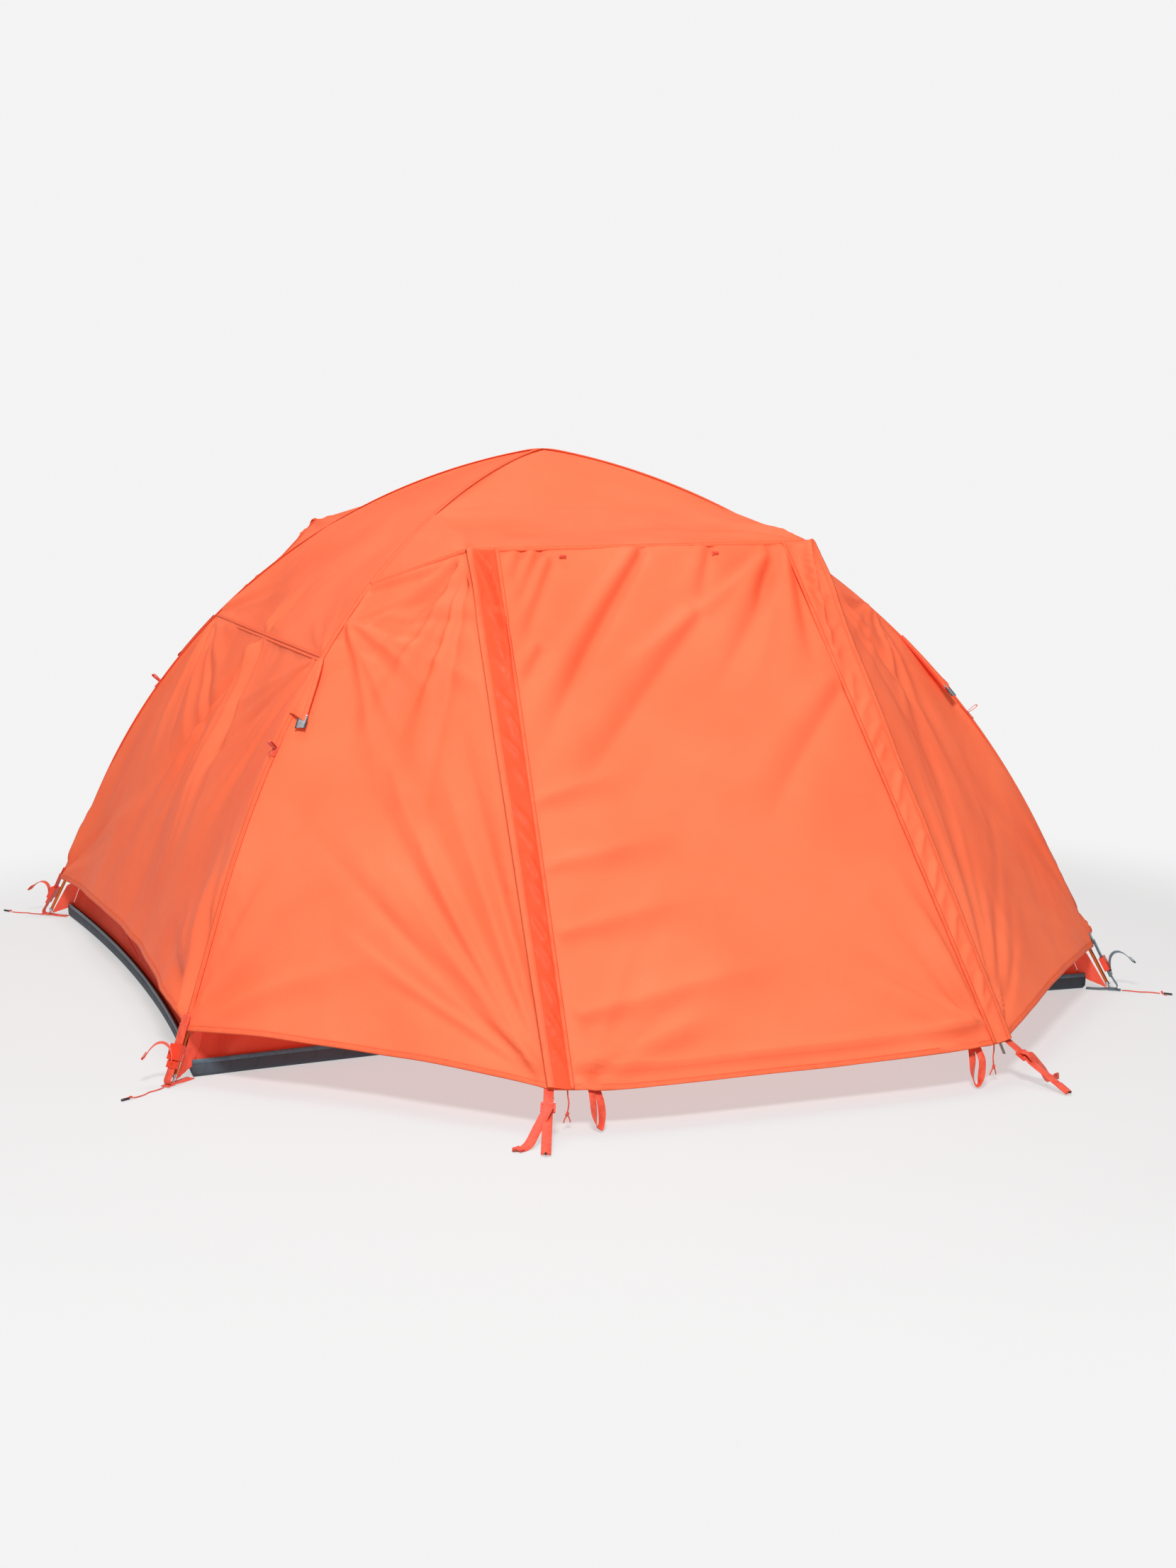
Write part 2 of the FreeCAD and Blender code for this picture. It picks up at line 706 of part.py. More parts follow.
def door_point(along, across):
    """A point of the rear door: along from brow to hem, across from -1 to 1."""
    top = Vector(BROW.x * across, BROW.y, BROW.z)
    bulge = dim("porch_out") - dim("porch_corner_out")
    low = Vector(PORCH.x * across, dim("porch_out") - bulge * abs(across) ** 5, PORCH.z)
    return top + (low - top) * along


def door_grid(start, foot, columns, rows):
    """The door's cloth from one share of its half width at the brow, another at the hem."""
    gap = dim("seam_gap")
    top = gap / (PORCH - BROW).Length
    grid = []
    for row in range(rows + 1):
        along = top + (1 - top) * row / rows
        width = BROW.x + (PORCH.x - BROW.x) * along
        trim = gap / width
        low = max(start + (foot - start) * along, -1 + trim)
        high = 1 - trim
        line = [door_point(along, low + (high - low) * k / columns) for k in range(columns + 1)]
        grid.append(line)
    return grid


def zip_tape():
    """The zip's tape, a flat strip behind the seam between porch side and door."""
    wide, thick, behind = 18.0, 1.2, 9.0
    return edge_strip(wide, thick, behind, 6.0, 4.0)


def edge_frame():
    """The seam line's direction, the outward normal there and the way across it."""
    run = PORCH - BROW
    run.normalize()
    normal = Vector(0.42, 0.70, 0.62)
    normal = normal - run * normal.dot(run)
    normal.normalize()
    across = run.cross(normal)
    return run, normal, across


def edge_strip(wide, thick, behind, from_top, from_hem):
    """A straight strip along the porch seam, behind the cloth by the given distance."""
    run, normal, across = edge_frame()
    start = BROW + run * from_top - normal * behind
    end = PORCH - run * from_hem - normal * behind
    corners = [
        start - across * (wide / 2),
        start + across * (wide / 2),
        end + across * (wide / 2),
        end - across * (wide / 2),
    ]
    return Part.Face(Part.makePolygon(corners + corners[:1])).extrude(normal * -thick)


def zip_slider():
    """The slider behind the tape at the zip's foot, with its pull tab hanging from it."""
    run, normal, across = edge_frame()
    frame = FreeCAD.Matrix(across, normal, run)
    body = block(Vector(-6, -16.2, -26), Vector(6, -11.2, -8))
    bridge = block(Vector(-2, -19.0, -22), Vector(2, -16.2, -12))
    tab = block(Vector(-4, -21.0, -18), Vector(4, -19.0, 22))
    slider = body.fuse(bridge).fuse(tab).removeSplitter()
    slider = slider.transformGeometry(frame)
    slider.translate(PORCH)
    return slider


def guy_flap():
    """The cover flap and its reflective tab where a guy line ties to the ridge."""
    start, end, rise = 926.0, 1022.0, 5.0
    high = RIDGE.height(start) + rise
    low = RIDGE.height(end) + 12.0
    run = Vector(end - start, 0, low - high)
    length = run.Length
    tilt = math.degrees(math.atan2(high - low, end - start))
    outline = [
        Vector(0, -24, 0),
        Vector(0, 24, 0),
        Vector(length - 26, 34, 0),
        Vector(length, 14, 0),
        Vector(length, -14, 0),
        Vector(length - 26, -34, 0),
    ]
    flap = Part.Face(Part.makePolygon(outline + outline[:1])).extrude(Vector(0, 0, dim("cloth")))
    tab = block(Vector(length + 0.5, -10, 0), Vector(length + 22, 10, dim("cloth")))
    pieces = [flap, tab]
    for piece in pieces:
        piece.rotate(ORIGIN, Y_AXIS, tilt)
        piece.translate(Vector(start, 0, high))
    return Part.makeCompound(pieces)


def guy_loop():
    """The flattened webbing loop on the ridge below the flap, standing straight out."""
    reach, long, wide, layer, slit = 1088.0, 30.0, 10.0, 1.6, 2.4
    angle = math.acos((reach + RIDGE.back) / RIDGE.side)
    outer = block(Vector(3, -wide / 2, -layer - slit / 2), Vector(long, wide / 2, layer + slit / 2))
    inner = block(Vector(3, -wide, -slit / 2), Vector(long - layer, wide, slit / 2))
    loop = outer.cut(inner)
    loop.rotate(ORIGIN, Y_AXIS, -math.degrees(angle))
    loop.translate(Vector(reach, 0, RIDGE.height(reach)))
    return loop


def make_fly():
    group("fly_roof_cap", roof_shapes())
    wall = end_wall()
    shaped("fly_end_wall_right", wall)
    shaped("fly_end_wall_left", wall.mirror(ORIGIN, X_AXIS))
    side = porch_side()
    door = sheet_solid(door_grid(-1, -1, 16, 10), dim("cloth"))
    lift = 5.0
    covered = door_grid(1 - dim("flap_share"), 1 - dim("flap_foot_share"), 4, 10)
    flap = sheet_solid(offset_grid(covered, lift), dim("cloth"))
    tape = zip_tape()
    slider = zip_slider()
    ridge_flap = guy_flap()
    loop = guy_loop()
    for name, sign_x, sign_y in CORNERS:
        shaped(f"fly_porch_side_{name}", quarter(side, sign_x, sign_y))
        shaped(f"zip_slider_{name}", quarter(slider, sign_x, sign_y))
        shaped(f"guy_flap_{name}", at_corner(ridge_flap, sign_x, sign_y))
    group("guy_loops", [at_corner(loop, sign_x, sign_y) for name, sign_x, sign_y in CORNERS])
    for name, sign in SIDES:
        shaped(f"fly_door_{name}", quarter(door, 1, sign))
        group(f"storm_flaps_{name}", [quarter(flap, sign_x, sign) for sign_x in (-1, 1)])
        group(f"zip_tapes_{name}", [quarter(tape, sign_x, sign) for sign_x in (-1, 1)])


def make_brow_toggles():
    """Small barrel toggles that tie the brow to the pole behind it."""
    places = (-0.4, 0.48)
    radius, length = 3.0, 16.0
    for name, sign in SIDES:
        toggles = []
        for share in places:
            along = 0.022
            base = door_point(along, share)
            place = Vector(base.x, base.y + 6.5, base.z + 5.5)
            toggle = Part.makeCylinder(radius, length, place - X_AXIS * (length / 2), X_AXIS)
            toggles.append(toggle if sign > 0 else toggle.rotate(ORIGIN, Z_AXIS, 180))
        group(f"brow_toggles_{name}", toggles)


# ---------------------------------------------------------------- webbing, buckles and cords


def ribbon(start, end, across, thick):
    """A flat strap from start to end, dim('web') wide along the across direction."""
    half = Vector(across)
    half.normalize()
    half = half * (dim("web") / 2)
    run = end - start
    normal = run.cross(half)
    normal.normalize()
    corners = [start - half, start + half, end + half, end - half]
    return Part.Face(Part.makePolygon(corners + corners[:1])).extrude(normal * thick)


def ladder_lock():
    """A tension buckle: a rounded frame with two windows and three bars."""
    wide, tall, thick = 30.0, 26.0, 4.0
    body = new_body("LadderLock")
    frame = sketch_on(body, "XY_Plane", "LockFrame")
    draw_outline(frame, box_outline(-wide / 2, -tall / 2, wide / 2, tall / 2))
    pad(body, frame, thick)
    windows = sketch_on(body, "XY_Plane", "LockWindows", thick)
    slot = 3.6
    for low in (-7.5, 7.5 - slot):
        draw_outline(windows, box_outline(-11, low, 11, low + slot))
    cut = pocket(body, windows, thick + 1)
    upright = [
        f"Edge{number + 1}"
        for number, edge in enumerate(cut.Shape.Edges)
        if abs(abs(edge.Vertexes[0].X) - wide / 2) < 0.1
        and abs(abs(edge.Vertexes[0].Y) - tall / 2) < 0.1
        and abs(edge.Vertexes[0].Z - edge.Vertexes[-1].Z) > 1
    ]
    fillet = body.newObject("PartDesign::Fillet", "LockRounds")
    fillet.Base = (cut, upright)
    fillet.Radius = 3.0
    body.Tip = fillet
    DOC.recompute()
    return body.Shape.copy()


def make_porch_straps():
    """The adjustable straps from the porch corners to their stakes."""
    ground = Vector(dim("porch_half") + 62, dim("porch_corner_out") + 150, 2.2)
    corner = PORCH + Vector(3, 3, -3)
    run = ground - corner
    length = run.Length
    run.normalize()
    across = run.cross(Vector(0.3, 0.9, 0.4))
    across.normalize()
    normal = across.cross(run)
    lock_at, half_lock = 44.0, 13.6
    upper = ribbon(corner, corner + run * (lock_at - half_lock), across, dim("web_thick"))
    below = corner + run * (lock_at + half_lock)
    lower = ribbon(below, corner + run * (length - 4), across, dim("web_thick"))
    lock = ladder_lock()
    turn = FreeCAD.Matrix(across, run, normal * -1)
    lock = lock.transformGeometry(turn)
    lock.translate(corner + run * lock_at + normal)
    straps = []
    locks = []
    for name, sign_x, sign_y in CORNERS:
        straps.append(quarter(upper, sign_x, sign_y))
        straps.append(quarter(lower, sign_x, sign_y))
        locks.append(quarter(lock, sign_x, sign_y))
    group("porch_straps", straps)
    group("ladder_locks", locks)


def make_door_loops():
    """Webbing loops that hang from the door's two lower corners to the ground."""
    across = 0.84
    corner = door_point(1.0, across) + Vector(0, 0, -1.5)
    low = Vector(corner.x, corner.y + 6, 3.0)
    back = corner + Vector(0, 3.2, 0)
    front_leg = ribbon(corner, low, X_AXIS, dim("web_thick"))
    back_leg = ribbon(back, low + Vector(0, 3.2, 0), X_AXIS, dim("web_thick"))
    for name, sign in SIDES:
        loops = []
        for sign_x in (-1, 1):
            loops.append(quarter(front_leg, sign_x, sign))
            loops.append(quarter(back_leg, sign_x, sign))
        group(f"door_loops_{name}", loops)


def leg_frame_shape(shape, arch, outwards):
    """Moves a shape made along Z at the origin on to a pole's leg, outwards from its line."""
    out = shape.copy()
    out.translate(Vector(outwards, 0, 0))
    out.rotate(ORIGIN, Y_AXIS, -math.degrees(arch.slope()))
    out.translate(Vector(DIAGONAL, 0, 0))
    return out


def buckle_socket():
    """The female half: a flat sleeve, open at the foot, with windows for the prongs."""
    body = new_body("BuckleSocket")
    outline = sketch_on(body, "XY_Plane", "SocketOutline", 50)
    draw_outline(outline, box_outline(-6.5, -15.5, 6.5, 15.5))
    pad(body, outline, 34)
    hollow = sketch_on(body, "XY_Plane", "SocketHollow", 50)
    draw_outline(hollow, box_outline(-4, -12.5, 4, 12.5))
    pocket(body, hollow, 28, reverse=True)
    return body.Shape.copy()


def buckle_plug():
    """The male half: a base with two prongs and a middle guide."""
    body = new_body("BucklePlug")
    outline = sketch_on(body, "YZ_Plane", "PlugOutline")
    points = [
        (-14, 33), (14, 33), (14, 48.5), (11.5, 48.5), (11.5, 72), (7, 72), (7, 54), (1.6, 54),
        (1.6, 70), (-1.6, 70), (-1.6, 54), (-7, 54), (-7, 72), (-11.5, 72), (-11.5, 48.5), (-14, 48.5),
    ]
    draw_outline(outline, points)
    pad(body, outline, 5.5, midplane=True)
    DOC.recompute()
    return body.Shape.copy()


def corner_plate():
    """The webbing on the ground that ties floor corner, pole tip and stake cord together."""
    body = new_body("CornerPlate")
    outline = sketch_on(body, "XY_Plane", "PlateOutline")
    inner = dim("inner_foot") + 4
    draw_outline(outline, box_outline(inner, -11, DIAGONAL + 24, 11))
    pad(body, outline, "Dims.web_thick")
    hole = sketch_on(body, "XY_Plane", "PlateHole", dim("web_thick"))
    draw_circle(hole, Vector(DIAGONAL, 0, 0), "Dims.eyelet_radius + 3.2")
    pocket(body, hole, dim("web_thick") + 1)
    return body.Shape.copy()


def eyelet():
    """The metal eyelet that a pole's tip stands in."""
    body = new_body("Eyelet")
    ring = sketch_on(body, "XY_Plane", "EyeletRing")
    draw_circle(ring, Vector(DIAGONAL, 0, 0), "Dims.eyelet_radius + 3")
    draw_circle(ring, Vector(DIAGONAL, 0, 0), "Dims.eyelet_radius")
    pad(body, ring, 2.6)
    DOC.recompute()
    return body.Shape.copy()


def cord_tube(route, diameter, label):
    """A tube along straight runs joined by tangent arcs as large as the runs allow."""
    edges = []
    radii = []
    start = route[0]
    for index in range(1, len(route) - 1):
        before = route[index - 1] - route[index]
        after = route[index + 1] - route[index]
        short = min(before.Length, after.Length)
        half_turn = (math.pi - before.getAngle(after)) / 2
        radius = 0.45 * short / math.tan(half_turn)
        radii.append(radius)
        before.normalize()
        after.normalize()
        first = route[index] + before * (0.45 * short)
        last = route[index] + after * (0.45 * short)
        bisector = before + after
        bisector.normalize()
        centre = route[index] + bisector * (radius / math.cos(half_turn))
        middle = centre - bisector * radius
        edges.append(Part.LineSegment(start, first).toShape())
        edges.append(Part.Arc(first, middle, last).toShape())
        start = last
    edges.append(Part.LineSegment(start, route[-1]).toShape())
    path = Part.Wire(edges)
    section = Part.Wire(Part.Circle(route[0], route[1] - route[0], diameter / 2).toShape())
    tube = path.makePipeShell([section], True, True)
    expected = math.pi * diameter**2 / 4 * path.Length
    print(f"{label}: length {path.Length:.1f}, tightest arc {min(radii):.1f}, volume share "
          f"{tube.Volume / expected:.4f}")
    if abs(tube.Volume / expected - 1) > 0.01:
        raise RuntimeError(f"{label} has the wrong volume")
    return tube


def make_corners():
    """The hardware at the four corners of the floor."""
    plate = corner_plate()
    ring = eyelet()
    socket = buckle_socket()
    plug = buckle_plug()
    outwards = 17.0
    height = dim("stake_cord_diameter") / 2 + 0.2
    # X outwards from the tent's centre, Y sideways, as the loose cord lies on the ground.
    route = [(1481.5, 0), (1502, 3), (1524, -4), (1547, 4), (1572, -2)]
    cord = cord_tube([Vector(x, y, height) for x, y in route], dim("stake_cord_diameter"), "stake cord")
    knot = Part.makeSphere(4.0, Vector(1577.5, -3.2, 4.2))
    sleeve = Part.makeCylinder(2.6, 20.0, Vector(1583, -4.6, 2.8), Vector(1, -0.24, 0))
    tab = block(Vector(-1, -10, 0), Vector(1, 10, 30))
    plates, rings, sockets, tabs, ends = [], [], [], [], []
    for name, sign_x, sign_y in CORNERS:
        arch = UPPER if sign_x == sign_y else LOWER
        plates.append(at_corner(plate, sign_x, sign_y))
        rings.append(at_corner(ring, sign_x, sign_y))
        sockets.append(at_corner(leg_frame_shape(socket, arch, outwards), sign_x, sign_y))
        lifted = tab.copy()
        lifted.translate(Vector(0, 0, 85))
        tabs.append(at_corner(leg_frame_shape(lifted, arch, outwards), sign_x, sign_y))
        shaped(f"buckle_plug_{name}", at_corner(leg_frame_shape(plug, arch, outwards), sign_x, sign_y))
        shaped(f"stake_cord_{name}", at_corner(cord, sign_x, sign_y))
        ends.append(at_corner(knot, sign_x, sign_y))
        ends.append(at_corner(sleeve, sign_x, sign_y))
    group("corner_webbing", plates)
    group("corner_eyelets", rings)
    group("buckle_sockets", sockets)
    group("hem_webbing", tabs)
    group("stake_cord_ends", ends)


def check_and_export():
    """Stops on any failed object, then writes one STEP file for each node."""
    DOC.recompute()
    for thing in DOC.Objects:
        if "Invalid" in thing.State or "Error" in thing.State:
            raise RuntimeError(f"{thing.Label}: {thing.State}")
    os.makedirs("parts", exist_ok=True)
    for thing in NODES:
        shape = thing.Shape
        if shape.isNull() or not shape.isValid() or not shape.Solids:
            raise RuntimeError(f"{thing.Label} has no valid solid")
        if min(solid.Volume for solid in shape.Solids) <= 0:
            raise RuntimeError(f"{thing.Label} has a solid with no volume")
        shape.exportStep(f"parts/{thing.Label}.step")
    print(f"{len(NODES)} nodes written")


make_poles()
make_crossing_hub()
brow_front, brow_end, brow_tilt = make_brow_poles()
make_brow_hubs(brow_front, brow_end, brow_tilt)
make_inner_clips()
make_floor()
make_inner_tent()
make_fly()
make_brow_toggles()
make_porch_straps()
make_door_loops()
make_corners()
check_and_export()
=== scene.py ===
import math

import bpy
import numpy as np
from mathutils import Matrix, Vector


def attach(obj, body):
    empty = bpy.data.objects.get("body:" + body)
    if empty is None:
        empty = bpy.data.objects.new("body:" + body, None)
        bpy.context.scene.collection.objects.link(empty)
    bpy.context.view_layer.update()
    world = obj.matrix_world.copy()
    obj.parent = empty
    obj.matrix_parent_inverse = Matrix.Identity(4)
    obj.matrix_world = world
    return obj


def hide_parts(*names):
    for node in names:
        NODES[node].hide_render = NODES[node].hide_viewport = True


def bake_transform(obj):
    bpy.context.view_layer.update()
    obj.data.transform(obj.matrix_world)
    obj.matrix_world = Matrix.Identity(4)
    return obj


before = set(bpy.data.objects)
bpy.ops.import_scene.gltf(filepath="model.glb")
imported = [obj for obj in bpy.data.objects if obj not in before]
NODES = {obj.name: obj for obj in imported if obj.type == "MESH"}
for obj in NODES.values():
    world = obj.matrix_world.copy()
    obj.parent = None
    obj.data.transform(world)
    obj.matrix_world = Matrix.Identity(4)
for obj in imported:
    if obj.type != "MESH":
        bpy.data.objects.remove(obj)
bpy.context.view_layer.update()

# Everything is in metres in the tent's own frame: +X along the long side, the front porch
# faces -Y, +Z up, and the ground is at Z 0. One corner, side or porch is described once, and
# turned() or flip() makes the others from it.

HALF_LENGTH, HALF_WIDTH = 1.150, 0.893
DIAGONAL = math.hypot(HALF_LENGTH, HALF_WIDTH)
ROOF_REACH, GUSSET_REACH, KNEE_REACH = 0.917, 0.735, 0.480
HEM_HEIGHT = 0.108
BROW = np.array([0.422, 0.679, 1.094])
PORCH = np.array([0.515, 1.475, 0.085])
PORCH_OUT = 1.523
STEP = 0.0088  # spacing of the cloth's vertices
CORNERS = [("front_left", -1, -1), ("front_right", 1, -1), ("rear_left", -1, 1), ("rear_right", 1, 1)]
SIDES = [("front", -1), ("rear", 1)]
UP = np.array([0.0, 0.0, 1.0])


# ---------------------------------------------------------------- lines


class Arch:
    """Half of an arched line: a crown arc, a side arc and a straight leg."""

    def __init__(self, inset, foot):
        self.back, self.drop = 0.2684, 0.410
        self.side, self.crown = 1.7336 - inset, 0.250 - inset
        rise = math.sqrt((self.side - self.crown) ** 2 - self.back**2)
        self.top = rise - self.drop
        self.crown_reach = self.crown * math.cos(math.atan2(rise, self.back))
        across = foot + self.back
        angle = math.atan2(self.drop, across) + math.acos(self.side / math.hypot(across, self.drop))
        self.leg_reach = self.side * math.cos(angle) - self.back
        self.leg_height = self.side * math.sin(angle) - self.drop
        self.foot = foot

    def height(self, reach):
        r = np.asarray(reach, float)
        crown = self.top + np.sqrt(np.clip(self.crown**2 - r**2, 0, None))
        side = np.sqrt(np.clip(self.side**2 - (r + self.back) ** 2, 0, None)) - self.drop
        leg = self.leg_height * (self.foot - r) / (self.foot - self.leg_reach)
        return np.where(r <= self.crown_reach, crown, np.where(r <= self.leg_reach, side, leg))

    def reach_on_leg(self, height):
        return self.foot - height * (self.foot - self.leg_reach) / self.leg_height

    def line(self, reach):
        r = np.asarray(reach, float)
        share = r / DIAGONAL
        return np.stack([HALF_LENGTH * share, HALF_WIDTH * share, self.height(r)], -1)


RIDGE = Arch(0.0, 1.464)
INNER = Arch(0.044, 1.392)
UPPER, LOWER = Arch(0.013, DIAGONAL), Arch(0.024, DIAGONAL)
HEM_REACH = float(RIDGE.reach_on_leg(HEM_HEIGHT))


def ramp(count):
    return np.linspace(0.0, 1.0, count)


def between(start, end, count):
    t = ramp(count)[:, None]
    return np.asarray(start, float) * (1 - t) + np.asarray(end, float) * t


def flip(points, sign_x, sign_y):
    return np.asarray(points, float) * np.array([sign_x, sign_y, 1.0])


def turned(points, sign_x, sign_y):
    """Points given in a pole's plane (X outwards, Y sideways, Z up), at that pole's corner."""
    angle = math.atan2(sign_y * HALF_WIDTH, sign_x * HALF_LENGTH)
    c, s = math.cos(angle), math.sin(angle)
    p = np.asarray(points, float)
    return np.stack([p[..., 0] * c - p[..., 1] * s, p[..., 0] * s + p[..., 1] * c, p[..., 2]], -1)


def unit(v):
    v = np.asarray(v, float)
    return v / np.maximum(np.linalg.norm(v, axis=-1, keepdims=True), 1e-12)


# ---------------------------------------------------------------- folds in cloth


def smooth(t):
    t = np.clip(t, 0, 1)
    return t * t * (3 - 2 * t)


def lattice(x, y, seed):
    """Smooth noise from -1 to 1 on a unit lattice."""
    rng = np.random.default_rng(seed)
    table = rng.uniform(-1, 1, (64, 64))
    ix, iy = np.floor(x).astype(int), np.floor(y).astype(int)
    fx, fy = smooth(x - ix), smooth(y - iy)
    a = table[ix % 64, iy % 64]
    b = table[(ix + 1) % 64, iy % 64]
    c = table[ix % 64, (iy + 1) % 64]
    d = table[(ix + 1) % 64, (iy + 1) % 64]
    return (a * (1 - fx) + b * fx) * (1 - fy) + (c * (1 - fx) + d * fx) * fy


FOLD_GAIN = 1.9  # how much higher than its listed height a fold stands, unless a panel says otherwise


class Folds:
    """The height of a panel's folds over its flat cut, in metres of the cut."""

    def __init__(self, grid, seed, gain=FOLD_GAIN):
        self.gain = gain
        across = np.linalg.norm(np.diff(grid, axis=1), axis=2).sum(1)
        down = np.linalg.norm(np.diff(grid, axis=0), axis=2).mean(1)
        self.rows, self.columns = grid.shape[:2]
        self.width = across
        self.depth = np.concatenate([[0], np.cumsum(down)])
        v = ramp(self.columns)[None, :]
        self.x = (v - 0.5) * across[:, None]
        self.y = np.repeat(self.depth[:, None], self.columns, 1)
        self.u = np.repeat(ramp(self.rows)[:, None], self.columns, 1)
        self.v = np.repeat(v, self.rows, 0)
        self.height = np.zeros_like(self.x)
        self.rng = np.random.default_rng(seed)
        self.seed = seed

    def place(self, u, v):
        row = u * (self.rows - 1)
        i = int(np.clip(math.floor(row), 0, self.rows - 2))
        f = row - i
        width = self.width[i] * (1 - f) + self.width[i + 1] * f
        depth = self.depth[i] * (1 - f) + self.depth[i + 1] * f
        return np.array([(v - 0.5) * width, depth])

    def crease(self, start, end, height, width, spread=1.0, bow=0.0, lead=0.08, tail=0.5):
        """One fold from start to end, both (u, v); it widens to width * spread."""
        a, b = self.place(*start), self.place(*end)
        d = b - a
        length = float(np.hypot(*d))
        if length < 1e-6:
            return
        d = d / length
        t = ((self.x - a[0]) * d[0] + (self.y - a[1]) * d[1]) / length
        off = (self.x - a[0]) * -d[1] + (self.y - a[1]) * d[0]
        inside = np.clip(t, 0, 1)
        off = off - bow * length * np.sin(np.pi * inside)
        w = width * (1 + (spread - 1) * inside)
        fade = smooth(t / max(lead, 1e-3)) * (1 - smooth((t - (1 - tail)) / tail))
        shape = np.exp(-((np.abs(off) / w) ** 1.35)) - 0.5 * np.exp(-(((off - 1.9 * w) / (1.3 * w)) ** 2))
        self.height += self.gain * height * fade * shape

    def fan(self, start, angles, lengths, count, height, width, spread=3.0, lead=0.1):
        """Folds that leave one pulled point; angles are from the cut's width towards its foot."""
        a = self.place(*start)
        for k in range(count):
            share = (k + self.rng.uniform(0.15, 0.85)) / count
            angle = math.radians(angles[0] + (angles[1] - angles[0]) * share)
            length = self.rng.uniform(*lengths)
            b = a + length * np.array([math.cos(angle), math.sin(angle)])
            rise = height * self.rng.uniform(0.45, 1.0) * self.rng.choice([-1, 1, 1])
            u = float(np.interp(b[1], self.depth, ramp(self.rows)))
            w = float(np.interp(b[1], self.depth, self.width))
            bow = self.rng.uniform(-0.03, 0.03)
            self.crease(start, (u, b[0] / w + 0.5), rise, width, spread, bow, lead, 0.6)

    def soft(self, height, size, stretch=1.0, angle=0.0):
        """Broad uneven waves; size is their length, stretch pulls them out along angle."""
        c, s = math.cos(math.radians(angle)), math.sin(math.radians(angle))
        p = (self.x * c + self.y * s) / (size * stretch)
        q = (-self.x * s + self.y * c) / size
        self.height += height * (lattice(p + 7, q + 9, self.seed) + 0.5 * lattice(2 * p, 2 * q,
                                                                                  self.seed + 1))

    def crinkle(self, height, size, stretch=1.0, angle=0.0):
        """Sharp-crested small folds."""
        c, s = math.cos(math.radians(angle)), math.sin(math.radians(angle))
        p = (self.x * c + self.y * s) / (size * stretch)
        q = (-self.x * s + self.y * c) / size
        warp = 0.35 * lattice(p * 0.6 + 3, q * 0.6 + 5, self.seed + 11)
        ridged = 1 - 2 * np.abs(lattice(p + warp, q - warp, self.seed + 5))
        self.height += height * ridged * (0.6 + 0.4 * lattice(p / 3, q / 3, self.seed + 6))

    def pucker(self, edge, height, size, reach):
        """Gathers along a stitched edge: u0, u1, v0 or v1."""
        if edge[0] == "v":
            away = (self.v if edge == "v0" else 1 - self.v) * self.width[:, None]
            along = self.y
        else:
            away = self.y if edge == "u0" else self.depth[-1] - self.y
            along = self.x
        wave = 1 - 2 * np.abs(lattice(along / size + 4, away / (4 * size) + 2, self.seed + 21))
        strong = 0.65 + 0.35 * lattice(along / (size * 5) + 1, along * 0 + 8, self.seed + 22)
        self.height += height * wave * strong * np.exp(-away / reach) * smooth(away / 0.012)

    def hold(self, edges, over=0.03):
        """No height at the held edges, rising to the full height over a short distance."""
        mask = np.ones_like(self.x)
        for edge in edges:
            if edge[0] == "v":
                away = (self.v if edge == "v0" else 1 - self.v) * self.width[:, None]
            else:
                away = self.y if edge == "u0" else self.depth[-1] - self.y
            mask *= smooth(away / over)
        self.height *= mask
        return self.height


# ---------------------------------------------------------------- meshes


def new_mesh(name, verts, faces, uvs, material=None):
    mesh = bpy.data.meshes.new(name)
    mesh.from_pydata([tuple(map(float, v)) for v in verts], [], [tuple(map(int, f)) for f in faces])
    mesh.uv_layers.new(name="UVMap").data.foreach_set("uv", np.asarray(uvs, np.float32).reshape(-1))
    mesh.polygons.foreach_set("use_smooth", [True] * len(mesh.polygons))
    mesh.update()
    obj = bpy.data.objects.new(name, mesh)
    bpy.context.scene.collection.objects.link(obj)
    if material is not None:
        mesh.materials.append(material)
    return obj


def settle(obj, body, slot, *nodes):
    """Puts a piece in the body it moves with and hides the CAD nodes that it stands for; slot, its finish,
    is not used.
    """
    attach(obj, body)
    if nodes:
        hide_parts(*nodes)
    return obj


